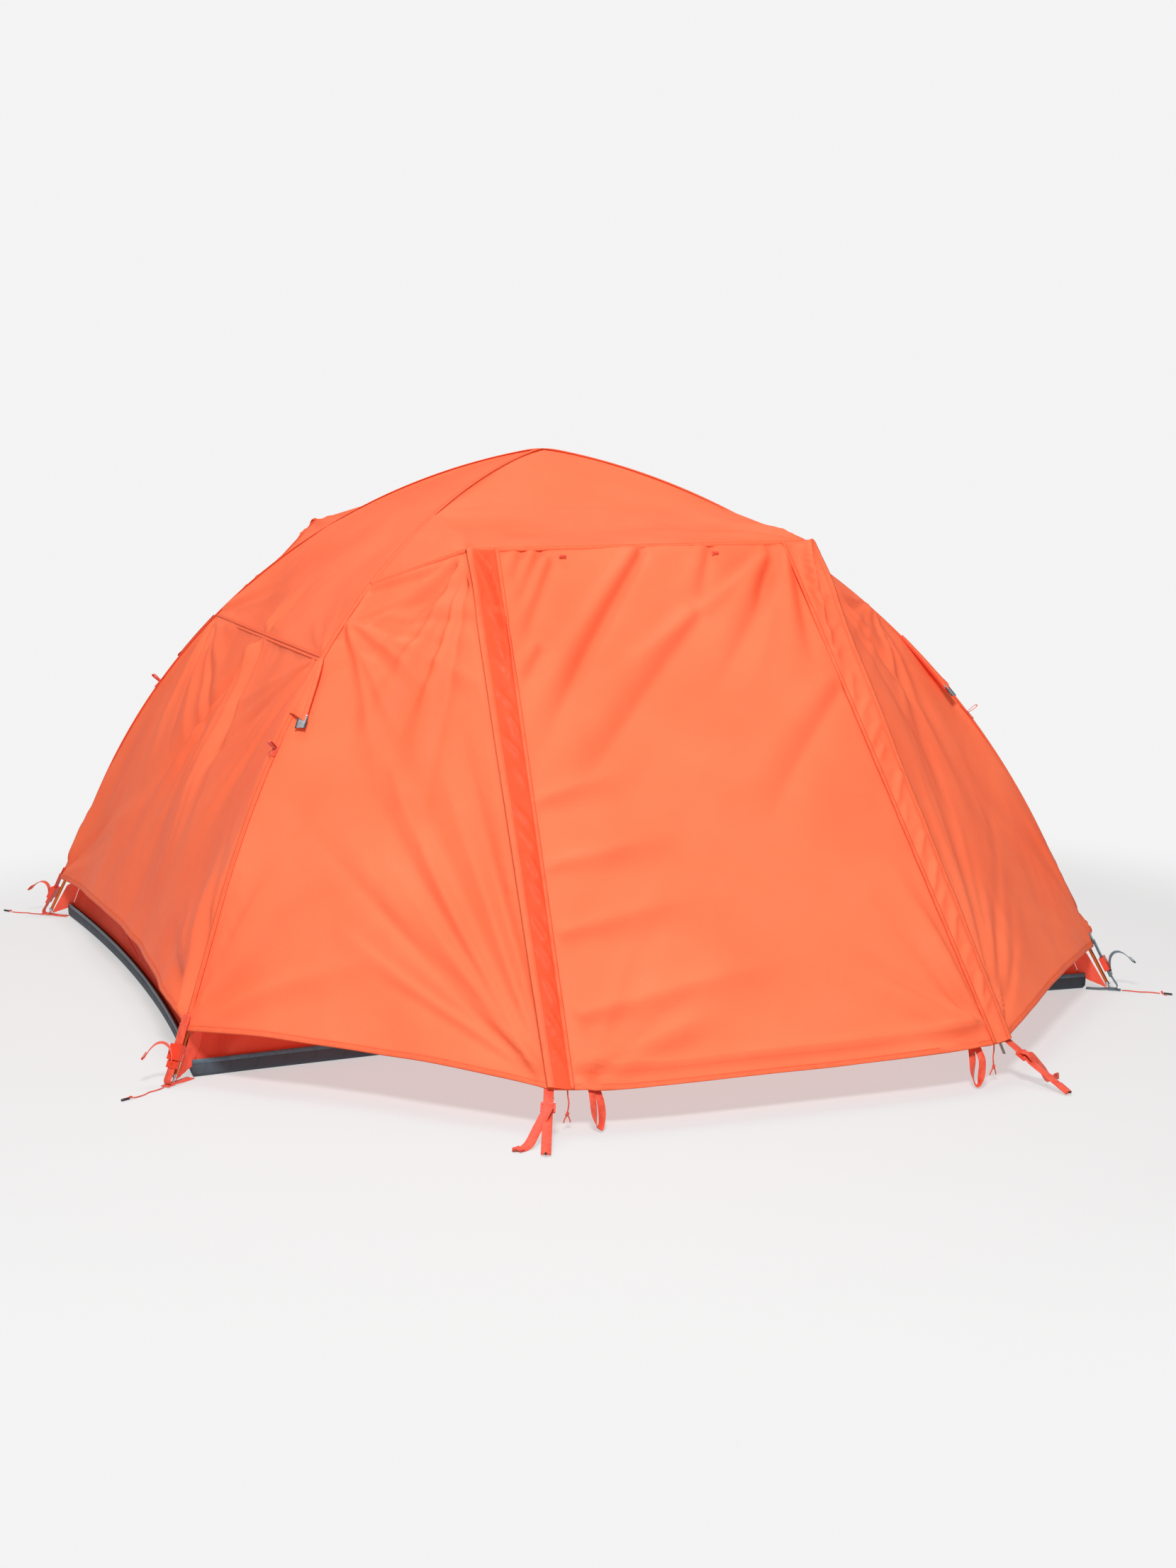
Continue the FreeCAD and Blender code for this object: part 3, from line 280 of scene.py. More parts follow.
class Cloth:
    """A sheet made of one or more grids whose shared edges are welded together."""

    def __init__(self, grids, centre=(0, 0, 0.3)):
        self.grids = grids
        points = np.concatenate([g.reshape(-1, 3) for g in grids])
        keys = np.round(points * 5000).astype(np.int64)
        _, first, inverse = np.unique(keys, axis=0, return_index=True, return_inverse=True)
        self.verts = points[first].copy()
        self.base_area = 0.0
        self.index = []
        start = 0
        inverse = inverse.reshape(-1)
        for g in grids:
            n = g.shape[0] * g.shape[1]
            self.index.append(inverse[start:start + n].reshape(g.shape[:2]))
            start += n
        self.faces, self.uvs = [], []
        for g, index in zip(grids, self.index):
            cut = Folds(g, 0)
            quads = np.stack([index[:-1, :-1], index[1:, :-1], index[1:, 1:], index[:-1, 1:]], -1)
            where = np.stack([cut.x, cut.y], -1)
            uv = np.stack([where[:-1, :-1], where[1:, :-1], where[1:, 1:], where[:-1, 1:]], -2)
            quads, uv = quads.reshape(-1, 4), uv.reshape(-1, 4, 2)
            middle = self.verts[quads].mean(1)
            v = self.verts
            a, b = v[quads[:, 2]] - v[quads[:, 0]], v[quads[:, 3]] - v[quads[:, 1]]
            outward = (np.cross(a, b) * (middle - np.asarray(centre))).sum(1).sum()
            self.base_area += float(np.linalg.norm(np.cross(a, b), axis=1).sum() / 2)
            if outward < 0:
                quads, uv = quads[:, ::-1], uv[:, ::-1]
            for quad, places in zip(quads.tolist(), uv.tolist()):
                kept = [k for k in range(4) if quad[k] != quad[k - 1]]
                if len(kept) > 2 and len({quad[k] for k in kept}) == len(kept):
                    self.faces.append([quad[k] for k in kept])
                    self.uvs.append([places[k] for k in kept])

    def relax(self, pins, rounds, pull=0.0):
        """Evens out the sheet between its pinned edges; pins holds one list of edges per grid."""
        fixed = np.zeros(len(self.verts), bool)
        for index, edges in zip(self.index, pins):
            for edge in edges:
                fixed[{"u0": index[0], "u1": index[-1], "v0": index[:, 0], "v1": index[:, -1]}[edge]] = True
        pairs = set()
        for face in self.faces:
            for k in range(len(face)):
                a, b = face[k - 1], face[k]
                pairs.add((a, b) if a < b else (b, a))
        pairs = np.array(sorted(pairs))
        a, b = pairs[:, 0], pairs[:, 1]
        count = np.bincount(a, minlength=len(fixed)) + np.bincount(b, minlength=len(fixed))
        free = ~fixed
        for _ in range(rounds):
            total = np.zeros_like(self.verts)
            for axis in range(3):
                line = self.verts[:, axis]
                total[:, axis] = np.bincount(a, line[b], len(fixed)) + np.bincount(b, line[a], len(fixed))
            moved = total / np.maximum(count, 1)[:, None]
            moved[:, 2] -= pull
            self.verts[free] = self.verts[free] * 0.2 + moved[free] * 0.8

    def normals(self):
        total = np.zeros_like(self.verts)
        for size in (3, 4):
            faces = np.array([f for f in self.faces if len(f) == size])
            if not len(faces):
                continue
            p = self.verts[faces]
            n = np.cross(p[:, 2] - p[:, 0], p[:, -1] - p[:, 1])
            for k in range(size):
                for axis in range(3):
                    total[:, axis] += np.bincount(faces[:, k], n[:, axis], len(total))
        return unit(total)

    def raise_by(self, heights):
        lift = np.zeros(len(self.verts))
        for index, height in zip(self.index, heights):
            lift[index.reshape(-1)] += height.reshape(-1)
        self.verts = self.verts + self.normals() * lift[:, None]

    def grid(self, k):
        return self.verts[self.index[k]]

    def build(self, name, material):
        uvs = [place for face in self.uvs for place in face]
        return new_mesh(name, self.verts, self.faces, uvs, material)


def ruled(left, right, columns):
    t = ramp(columns)[None, :, None]
    return left[:, None] * (1 - t) + right[:, None] * t


def count_for(length, least=4):
    return max(least, int(round(length / STEP)) + 1)


def resample(points, count):
    points = np.asarray(points, float)
    d = np.concatenate([[0], np.cumsum(np.linalg.norm(np.diff(points, axis=0), axis=1))])
    t = np.linspace(0, d[-1], count)
    return np.stack([np.interp(t, d, points[:, k]) for k in range(3)], -1)


def curve_through(points, count):
    """A smooth line through the points (Catmull-Rom), resampled evenly."""
    p = np.asarray(points, float)
    p = np.concatenate([[2 * p[0] - p[1]], p, [2 * p[-1] - p[-2]]])
    out = []
    for k in range(1, len(p) - 2):
        for t in np.linspace(0, 1, 12, endpoint=False):
            out.append(0.5 * (2 * p[k] + (p[k + 1] - p[k - 1]) * t
                              + (2 * p[k - 1] - 5 * p[k] + 4 * p[k + 1] - p[k + 2]) * t**2
                              + (3 * p[k] - p[k - 1] - 3 * p[k + 1] + p[k + 2]) * t**3))
    out.append(p[-2])
    return resample(out, count)


def band(name, line, up, width, thick, material, section=None, close=False, wide=None):
    """A strap swept along a line: width runs across it, thick along the up direction."""
    line = np.asarray(line, float)
    tangent = unit(np.gradient(line, axis=0))
    if wide is None:
        up = np.broadcast_to(np.asarray(up, float), line.shape)
        side = unit(np.cross(tangent, up))
    else:
        wide = np.broadcast_to(np.asarray(wide, float), line.shape)
        side = unit(wide - tangent * (wide * tangent).sum(-1, keepdims=True))
    normal = unit(np.cross(side, tangent))
    w, h = width / 2, thick / 2
    if section is None:
        section = [(-w, -0.5 * h), (-0.93 * w, -h), (0.93 * w, -h), (w, -0.5 * h),
                   (w, 0.5 * h), (0.93 * w, h), (0.0, h), (-0.93 * w, h), (-w, 0.5 * h)]
    section = np.array(section)
    n, m = len(line), len(section)
    across, above = section[None, :, :1], section[None, :, 1:]
    verts = (line[:, None] + side[:, None] * across + normal[:, None] * above).reshape(-1, 3)
    length = np.concatenate([[0], np.cumsum(np.linalg.norm(np.diff(line, axis=0), axis=1))])
    faces, uvs = [], []
    for i in range(n - 1 + int(close)):
        k = (i + 1) % n
        for j in range(m):
            q = (j + 1) % m
            faces.append([i * m + j, i * m + q, k * m + q, k * m + j])
            l0, l1 = length[i], length[i] + (length[1] if close else length[min(i + 1, n - 1)] - length[i])
            x0, x1 = section[j][0], section[q][0]
            uvs += [(l0, x0), (l0, x1), (l1, x1), (l1, x0)]
    if not close:
        faces.append(list(range(m))[::-1])
        uvs += [(0.0, 0.0)] * m
        faces.append([(n - 1) * m + j for j in range(m)])
        uvs += [(0.0, 0.0)] * m
    return new_mesh(name, verts, faces, uvs, material)


def seam(name, line, up, width, material, rise=0.0012):
    """A felled seam: a low raised strip that lies on the cloth."""
    w = width / 2
    section = [(-w, -0.0006), (-0.9 * w, rise), (-0.3 * w, rise * 1.35), (0.3 * w, rise * 1.35),
               (0.9 * w, rise), (w, -0.0006)]
    return band(name, line, up, width, rise, material, section)


def hem(name, edge, inward, normal, depth, material, thick=0.0009):
    """A hem folded round a free edge, in the plane of the cloth."""
    edge, inward, normal = (np.asarray(x, float) for x in (edge, unit(inward), unit(normal)))
    profile = [(depth, thick), (depth * 0.5, thick * 1.5), (0.0015, thick * 1.3), (-0.0012, 0.0),
               (0.0015, -thick * 1.3), (depth, -thick)]
    rows = [edge + inward * a + normal * b for a, b in profile]
    grid = np.stack(rows, 0)
    n, m = grid.shape[:2]
    length = np.concatenate([[0], np.cumsum(np.linalg.norm(np.diff(edge, axis=0), axis=1))])
    faces, uvs = [], []
    reach = [depth, depth / 2, 0, 0, 0, -depth]
    for i in range(n - 1):
        for j in range(m - 1):
            faces.append([i * m + j, i * m + j + 1, (i + 1) * m + j + 1, (i + 1) * m + j])
            uvs += [(length[j], reach[i]), (length[j + 1], reach[i]), (length[j + 1], reach[i + 1]),
                    (length[j], reach[i + 1])]
    return new_mesh(name, grid.reshape(-1, 3), faces, uvs, material)


# ---------------------------------------------------------------- materials


def material(name):
    mat = bpy.data.materials.new(name)
    mat.use_nodes = True
    tree = mat.node_tree
    tree.nodes.clear()
    out = tree.nodes.new("ShaderNodeOutputMaterial")
    shader = tree.nodes.new("ShaderNodeBsdfPrincipled")
    tree.links.new(shader.outputs[0], out.inputs[0])
    return mat, tree, shader, out


def node(tree, kind, **values):
    made = tree.nodes.new(kind)
    for key, value in values.items():
        if key in made.inputs:
            made.inputs[key].default_value = value
        else:
            setattr(made, key, value)
    return made


def ramp_node(tree, source, stops):
    made = tree.nodes.new("ShaderNodeValToRGB")
    made.color_ramp.elements[0].position = stops[0][0]
    made.color_ramp.elements[0].color = (*stops[0][1], 1)
    made.color_ramp.elements[1].position = stops[-1][0]
    made.color_ramp.elements[1].color = (*stops[-1][1], 1)
    for position, colour in stops[1:-1]:
        element = made.color_ramp.elements.new(position)
        element.color = (*colour, 1)
    tree.links.new(source, made.inputs[0])
    return made.outputs[0]


def maths(tree, operation, a, b=None):
    made = node(tree, "ShaderNodeMath", operation=operation)
    for k, value in enumerate((a, b)):
        if value is None:
            continue
        if isinstance(value, (int, float)):
            made.inputs[k].default_value = value
        else:
            tree.links.new(value, made.inputs[k])
    return made.outputs[0]


def cloth_material(name, colour, deep, light, rough=0.42, glow=0.0, weave=0.0055, bump=0.25, crinkle=0.5,
                   painted_glow=0.10):
    """Coated woven cloth: ripstop grid, faint shading in the dye, fine crinkles, some glow through, and a
    painted red glow from a constant emission.
    """
    mat, tree, shader, out = material(name)
    place = tree.nodes.new("ShaderNodeTexCoord")
    uv, solid = place.outputs["UV"], place.outputs["Object"]
    broad = node(tree, "ShaderNodeTexNoise", Scale=3.1, Detail=3.0, Roughness=0.55)
    tree.links.new(solid, broad.inputs["Vector"])
    tint = ramp_node(tree, broad.outputs["Fac"], [(0.2, deep), (0.5, colour), (0.8, light)])
    split = tree.nodes.new("ShaderNodeSeparateXYZ")
    tree.links.new(uv, split.inputs[0])
    lines = []
    for axis in ("X", "Y"):
        scaled = maths(tree, "MULTIPLY", split.outputs[axis], 1 / weave)
        saw = maths(tree, "FRACT", scaled)
        centred = maths(tree, "ABSOLUTE", maths(tree, "SUBTRACT", saw, 0.5))
        lines.append(maths(tree, "GREATER_THAN", centred, 0.44))
    grid = maths(tree, "MAXIMUM", lines[0], lines[1])
    darker = node(tree, "ShaderNodeMix", data_type="RGBA", blend_type="MULTIPLY")
    tree.links.new(maths(tree, "MULTIPLY", grid, 0.10), darker.inputs["Factor"])
    tree.links.new(tint, darker.inputs[6])
    darker.inputs[7].default_value = (*deep, 1)
    tree.links.new(darker.outputs[2], shader.inputs["Base Color"])
    fine = node(tree, "ShaderNodeTexNoise", Scale=38.0, Detail=4.0, Roughness=0.6, Distortion=0.6)
    tree.links.new(solid, fine.inputs["Vector"])
    folds = node(tree, "ShaderNodeTexVoronoi", feature="DISTANCE_TO_EDGE", Scale=11.0)
    warp = node(tree, "ShaderNodeTexNoise", Scale=5.0, Detail=2.0)
    tree.links.new(solid, warp.inputs["Vector"])
    bent = node(tree, "ShaderNodeVectorMath", operation="MULTIPLY_ADD")
    tree.links.new(warp.outputs["Color"], bent.inputs[0])
    bent.inputs[1].default_value = (0.35, 0.35, 0.35)
    tree.links.new(solid, bent.inputs[2])
    tree.links.new(bent.outputs[0], folds.inputs["Vector"])
    crease = ramp_node(tree, folds.outputs["Distance"], [(0.0, (1, 1, 1)), (0.09, (0, 0, 0))])
    height = maths(tree, "ADD", maths(tree, "MULTIPLY", fine.outputs["Fac"], 0.5),
                   maths(tree, "ADD", maths(tree, "MULTIPLY", crease, crinkle),
                         maths(tree, "MULTIPLY", grid, 0.10)))
    bumps = node(tree, "ShaderNodeBump", Strength=bump, Distance=0.0016)
    tree.links.new(height, bumps.inputs["Height"])
    tree.links.new(bumps.outputs[0], shader.inputs["Normal"])
    gloss = ramp_node(tree, fine.outputs["Fac"], [(0.3, (rough - 0.05,) * 3), (0.7, (rough + 0.07,) * 3)])
    tree.links.new(gloss, shader.inputs["Roughness"])
    shader.inputs["Specular IOR Level"].default_value = 0.05
    # A constant red emission: painted glow standing in for light that shines through the cloth.
    shader.inputs["Emission Color"].default_value = (1.0, 0.09, 0.03, 1)
    shader.inputs["Emission Strength"].default_value = painted_glow
    if glow:
        through = tree.nodes.new("ShaderNodeBsdfTranslucent")
        tree.links.new(darker.outputs[2], through.inputs["Color"])
        tree.links.new(bumps.outputs[0], through.inputs["Normal"])
        mixed = node(tree, "ShaderNodeMixShader")
        mixed.inputs[0].default_value = glow
        tree.links.new(shader.outputs[0], mixed.inputs[1])
        tree.links.new(through.outputs[0], mixed.inputs[2])
        tree.links.new(mixed.outputs[0], out.inputs[0])
    return mat


def stitched_material(name, colour, deep, thread, rows, pitch=0.0042, rough=0.5):
    """A seam or hem: cloth with rows of stitches, given as distances from its middle line."""
    mat, tree, shader, _ = material(name)
    place = tree.nodes.new("ShaderNodeTexCoord")
    split = tree.nodes.new("ShaderNodeSeparateXYZ")
    tree.links.new(place.outputs["UV"], split.inputs[0])
    along, across = split.outputs["X"], split.outputs["Y"]
    dash = maths(tree, "GREATER_THAN", maths(tree, "FRACT", maths(tree, "MULTIPLY", along, 1 / pitch)), 0.3)
    marks = None
    for row in rows:
        near = maths(tree, "LESS_THAN", maths(tree, "ABSOLUTE", maths(tree, "SUBTRACT", across, row)),
                     0.0006)
        mark = maths(tree, "MULTIPLY", near, dash)
        marks = mark if marks is None else maths(tree, "MAXIMUM", marks, mark)
    noise = node(tree, "ShaderNodeTexNoise", Scale=60.0, Detail=4.0, Roughness=0.65)
    tree.links.new(place.outputs["Object"], noise.inputs["Vector"])
    tint = ramp_node(tree, noise.outputs["Fac"], [(0.3, deep), (0.7, colour)])
    mixed = node(tree, "ShaderNodeMix", data_type="RGBA")
    tree.links.new(marks, mixed.inputs["Factor"])
    tree.links.new(tint, mixed.inputs[6])
    mixed.inputs[7].default_value = (*thread, 1)
    tree.links.new(mixed.outputs[2], shader.inputs["Base Color"])
    gather = node(tree, "ShaderNodeTexNoise", Scale=1.0, Detail=2.0)
    stretch = node(tree, "ShaderNodeVectorMath", operation="MULTIPLY")
    tree.links.new(place.outputs["UV"], stretch.inputs[0])
    stretch.inputs[1].default_value = (110, 40, 1)
    tree.links.new(stretch.outputs[0], gather.inputs["Vector"])
    height = maths(tree, "ADD", maths(tree, "MULTIPLY", marks, 0.4), gather.outputs["Fac"])
    bumps = node(tree, "ShaderNodeBump", Strength=0.35, Distance=0.0012)
    tree.links.new(height, bumps.inputs["Height"])
    tree.links.new(bumps.outputs[0], shader.inputs["Normal"])
    tree.links.new(ramp_node(tree, noise.outputs["Fac"],
                             [(0.3, (rough - 0.05,) * 3), (0.7, (rough + 0.08,) * 3)]),
                             shader.inputs["Roughness"])
    shader.inputs["Specular IOR Level"].default_value = 0.06
    return mat


def webbing_material(name, colour, deep, edge):
    """Woven tape: slanted ribs across it, with painted shade in their hollows and a painted highlight on
    their crests, mixed with random mottling.
    """
    mat, tree, shader, _ = material(name)
    place = tree.nodes.new("ShaderNodeTexCoord")
    split = tree.nodes.new("ShaderNodeSeparateXYZ")
    tree.links.new(place.outputs["UV"], split.inputs[0])
    along = maths(tree, "MULTIPLY", split.outputs["X"], 1 / 0.0018)
    across = maths(tree, "MULTIPLY", split.outputs["Y"], 1 / 0.0026)
    chevron = maths(tree, "ABSOLUTE", maths(tree, "SUBTRACT", maths(tree, "FRACT", across), 0.5))
    ribs = maths(tree, "SINE", maths(tree, "MULTIPLY", maths(tree, "ADD", along, chevron), 6.2832))
    noise = node(tree, "ShaderNodeTexNoise", Scale=90.0, Detail=3.0, Roughness=0.6)
    tree.links.new(place.outputs["Object"], noise.inputs["Vector"])
    # The colour follows the ribs' bump height: painted shade in the hollows, and a painted highlight
    # towards the edge colour on the crests.
    shade = maths(tree, "ADD", maths(tree, "MULTIPLY", ribs, 0.22), noise.outputs["Fac"])
    tree.links.new(ramp_node(tree, shade, [(0.25, deep), (0.55, colour), (0.85, edge)]),
                   shader.inputs["Base Color"])
    bumps = node(tree, "ShaderNodeBump", Strength=0.5, Distance=0.0006)
    tree.links.new(shade, bumps.inputs["Height"])
    tree.links.new(bumps.outputs[0], shader.inputs["Normal"])
    tree.links.new(ramp_node(tree, noise.outputs["Fac"], [(0.3, (0.5,) * 3), (0.7, (0.68,) * 3)]),
                   shader.inputs["Roughness"])
    shader.inputs["Sheen Weight"].default_value = 0.25
    return mat


def solid_material(name, colour, deep, rough, metal=0.0, scale=40.0, bump=0.08, brushed=False):
    """Moulded plastic or metal with faint mottling and a worn, uneven gloss."""
    mat, tree, shader, _ = material(name)
    place = tree.nodes.new("ShaderNodeTexCoord")
    noise = node(tree, "ShaderNodeTexNoise", Scale=scale, Detail=5.0, Roughness=0.6)
    source = place.outputs["Object"]
    if brushed:
        stretch = node(tree, "ShaderNodeMapping")
        stretch.inputs["Scale"].default_value = (1, 1, 0.12)
        tree.links.new(source, stretch.inputs["Vector"])
        source = stretch.outputs[0]
    tree.links.new(source, noise.inputs["Vector"])
    tree.links.new(ramp_node(tree, noise.outputs["Fac"], [(0.3, deep), (0.68, colour)]),
                   shader.inputs["Base Color"])
    tree.links.new(ramp_node(tree, noise.outputs["Fac"],
                             [(0.3, (max(rough - 0.08, 0.05),) * 3), (0.7, (rough + 0.1,) * 3)]),
                             shader.inputs["Roughness"])
    grain = node(tree, "ShaderNodeTexNoise", Scale=600.0, Detail=2.0)
    tree.links.new(place.outputs["Object"], grain.inputs["Vector"])
    bumps = node(tree, "ShaderNodeBump", Strength=bump, Distance=0.0004)
    tree.links.new(grain.outputs["Fac"], bumps.inputs["Height"])
    tree.links.new(bumps.outputs[0], shader.inputs["Normal"])
    shader.inputs["Metallic"].default_value = metal
    return mat


FLY = cloth_material("fly_cloth", (0.93, 0.202, 0.090), (0.92, 0.170, 0.072), (0.95, 0.234, 0.110),
                     rough=0.44, glow=0.24)
# A deeper, redder copy of the fly cloth: painted shade for the left storm flap, which is the same fabric as
# the fly.
SHADED_FLAP_CLOTH = cloth_material("flap_cloth", (0.93, 0.108, 0.042), (0.91, 0.086, 0.032), (0.95, 0.128, 0.052),
                      rough=0.36, glow=0.20, bump=0.35, crinkle=0.9)
SEAM = stitched_material("fly_seam", (0.88, 0.150, 0.064), (0.82, 0.128, 0.052), (0.62, 0.075, 0.026),
                         (-0.0032, 0.0032))
HEM = stitched_material("fly_hem", (0.88, 0.152, 0.066), (0.82, 0.130, 0.054), (0.62, 0.075, 0.026),
                        (0.0105, -0.0105))
INNER_CLOTH = cloth_material("inner_cloth", (0.92, 0.130, 0.080), (0.87, 0.112, 0.068),
                             (0.96, 0.148, 0.092), rough=0.55, glow=0.35, weave=0.003, crinkle=0.7)
INNER_MESH = cloth_material("inner_mesh", (0.66, 0.075, 0.040), (0.55, 0.058, 0.030),
                            (0.74, 0.092, 0.050), rough=0.7, glow=0.40, weave=0.0014, crinkle=0.4)
FLOOR_CLOTH = cloth_material("floor_cloth", (0.075, 0.093, 0.112), (0.062, 0.078, 0.094),
                             (0.090, 0.110, 0.130), rough=0.5, weave=0.004, crinkle=0.8, painted_glow=0.0)
WEB_RED = webbing_material("web_red", (0.80, 0.065, 0.022), (0.58, 0.040, 0.014), (0.90, 0.12, 0.05))
WEB_GREY = webbing_material("web_grey", (0.075, 0.135, 0.175), (0.045, 0.085, 0.115), (0.12, 0.19, 0.23))
CORD_RED = webbing_material("cord_red", (0.80, 0.055, 0.020), (0.50, 0.035, 0.012), (0.90, 0.13, 0.06))
BUCKLE_RED = solid_material("buckle_red", (0.80, 0.060, 0.022), (0.70, 0.045, 0.016), 0.34)
BUCKLE_GREY = solid_material("buckle_grey", (0.10, 0.150, 0.180), (0.075, 0.12, 0.145), 0.38)
BLACK = solid_material("black_nylon", (0.022, 0.022, 0.025), (0.012, 0.012, 0.014), 0.45)
POLE = solid_material("pole_anodised", (0.72, 0.175, 0.035), (0.60, 0.135, 0.026), 0.28, metal=0.85,
                      scale=18, brushed=True)
BARE = solid_material("bare_metal", (0.66, 0.66, 0.68), (0.52, 0.52, 0.54), 0.3, metal=1.0, brushed=True)
ELASTIC = webbing_material("elastic_cord", (0.75, 0.74, 0.72), (0.55, 0.55, 0.54), (0.82, 0.82, 0.80))
REFLECT = solid_material("reflective_tab", (0.50, 0.52, 0.55), (0.36, 0.38, 0.41), 0.28, metal=0.6,
                         scale=120)
TAB_EDGE = solid_material("tab_edge", (0.05, 0.055, 0.065), (0.03, 0.032, 0.04), 0.5)
ZIP = stitched_material("zip_tape", (0.42, 0.040, 0.018), (0.30, 0.028, 0.012), (0.10, 0.02, 0.01),
                        (-0.0022, 0.0022), pitch=0.0024)


# ---------------------------------------------------------------- rainfly

def declare(obj, cloth):
    """Works out a sheet's flat size, its cut's own length and the width that gives its area, but keeps
    neither.
    """
    lengths = [Folds(g, 0) for g in cloth.grids]
    long = max(max(f.depth[-1], float(f.width.max())) for f in lengths)
    wide = cloth.base_area / long
    if wide > long:
        long, wide = wide, long
    return obj


def dress_end(grid, seed):
    f = Folds(grid, seed)
    f.fan((0.0, 0.5), (62, 118), (0.35, 0.95), 10, 0.0080, 0.009, 4.0)
    f.fan((0.0, 0.03), (20, 72), (0.25, 0.8), 7, 0.0062, 0.009, 3.5)
    f.fan((0.0, 0.97), (108, 160), (0.25, 0.8), 7, 0.0062, 0.009, 3.5)
    for corner, low, high in (((1.0, 0.0), -88, -62), ((1.0, 1.0), 242, 268)):
        f.fan(corner, (low, high), (0.2, 0.6), 5, 0.0070, 0.006, 2.4)
    f.fan((1.0, 0.0), (-75, -12), (0.3, 0.9), 6, 0.0070, 0.009, 4.0)
    f.fan((1.0, 1.0), (192, 255), (0.3, 0.9), 6, 0.0070, 0.009, 4.0)
    f.soft(0.0105, 0.20, 1.9, 75)
    f.crinkle(0.0012, 0.060, 2.4, 80)
    f.pucker("v0", 0.0022, 0.030, 0.030)
    f.pucker("v1", 0.0022, 0.030, 0.030)
    f.pucker("u0", 0.0026, 0.026, 0.040)
    f.pucker("u1", 0.0012, 0.034, 0.030)
    return f.hold(["u0", "v0", "v1"])


def dress_roof_end(grid, seed):
    f = Folds(grid, seed)
    f.fan((0.0, 0.5), (58, 122), (0.15, 0.45), 7, 0.0040, 0.009, 3.0)
    f.fan((0.0, 0.0), (15, 60), (0.25, 0.7), 6, 0.0044, 0.009, 3.5)
    f.fan((0.0, 1.0), (120, 165), (0.25, 0.7), 6, 0.0044, 0.009, 3.5)
    f.soft(0.0090, 0.22, 1.7, 20)
    f.crinkle(0.0006, 0.07, 2.0, 30)
    f.pucker("u0", 0.0022, 0.026, 0.035)
    f.pucker("v0", 0.0011, 0.032, 0.025)
    f.pucker("v1", 0.0011, 0.032, 0.025)
    return f.hold(["u0", "u1", "v0", "v1"])


def dress_crown(grid, seed):
    f = Folds(grid, seed)
    f.soft(0.0078, 0.24, 1.6, 60)
    f.crinkle(0.0005, 0.08, 2.0, 60)
    f.pucker("v0", 0.0010, 0.032, 0.025)
    f.pucker("v1", 0.0010, 0.032, 0.025)
    return f.hold(["u0", "u1", "v0", "v1"])


def dress_brow(grid, seed):
    f = Folds(grid, seed)
    f.fan((0.0, 0.0), (20, 72), (0.2, 0.55), 5, 0.0044, 0.010, 3.0)
    f.fan((0.0, 1.0), (108, 160), (0.2, 0.55), 5, 0.0044, 0.010, 3.0)
    f.soft(0.0064, 0.18, 1.7, 50)
    f.crinkle(0.0007, 0.06, 2.0, 55)
    f.pucker("u0", 0.0020, 0.028, 0.03)
    return f.hold(["u0", "u1", "v0", "v1"])


def dress_gusset(grid, seed):
    f = Folds(grid, seed, 1.0)
    f.fan((0.0, 1.0), (110, 172), (0.2, 0.4), 4, 0.0040, 0.010, 3.0)
    f.soft(0.0052, 0.16, 1.7, 40)
    f.crinkle(0.0006, 0.06, 2.0, 50)
    f.pucker("u0", 0.0020, 0.026, 0.03)
    return f.hold(["u0", "u1", "v0", "v1"])


def dress_side(grid, seed):
    f = Folds(grid, seed, 0.85 if grid[..., 0].mean() > 0 else 1.7)
    f.fan((0.0, 1.0), (92, 160), (0.35, 1.0), 10, 0.0080, 0.009, 4.0)
    f.fan((0.145, 0.0), (-20, 80), (0.25, 0.8), 8, 0.0062, 0.009, 3.5)
    f.fan((1.0, 1.0), (200, 264), (0.4, 1.05), 11, 0.0078, 0.008, 4.0)
    f.fan((1.0, 0.0), (-88, -62), (0.2, 0.5), 5, 0.0070, 0.006, 2.4)
    f.fan((1.0, 0.0), (-70, -20), (0.3, 0.8), 5, 0.0060, 0.009, 4.0)
    f.fan((0.97, 1.0), (196, 222), (0.3, 0.8), 4, 0.0070, 0.008, 3.5)
    f.crease((0.012, 0.02), (0.010, 0.96), 0.0050, 0.011, 1.0, 0.0, 0.02, 0.06)
    f.soft(0.0080, 0.20, 2.2, 72)
    f.crinkle(0.0012, 0.060, 2.6, 78)
    f.pucker("u0", 0.0022, 0.026, 0.032)
    f.pucker("v0", 0.0022, 0.030, 0.03)
    f.pucker("v1", 0.0028, 0.024, 0.036)
    f.pucker("u1", 0.0012, 0.034, 0.03)
    return f.hold(["u0", "v0", "v1"], 0.022)


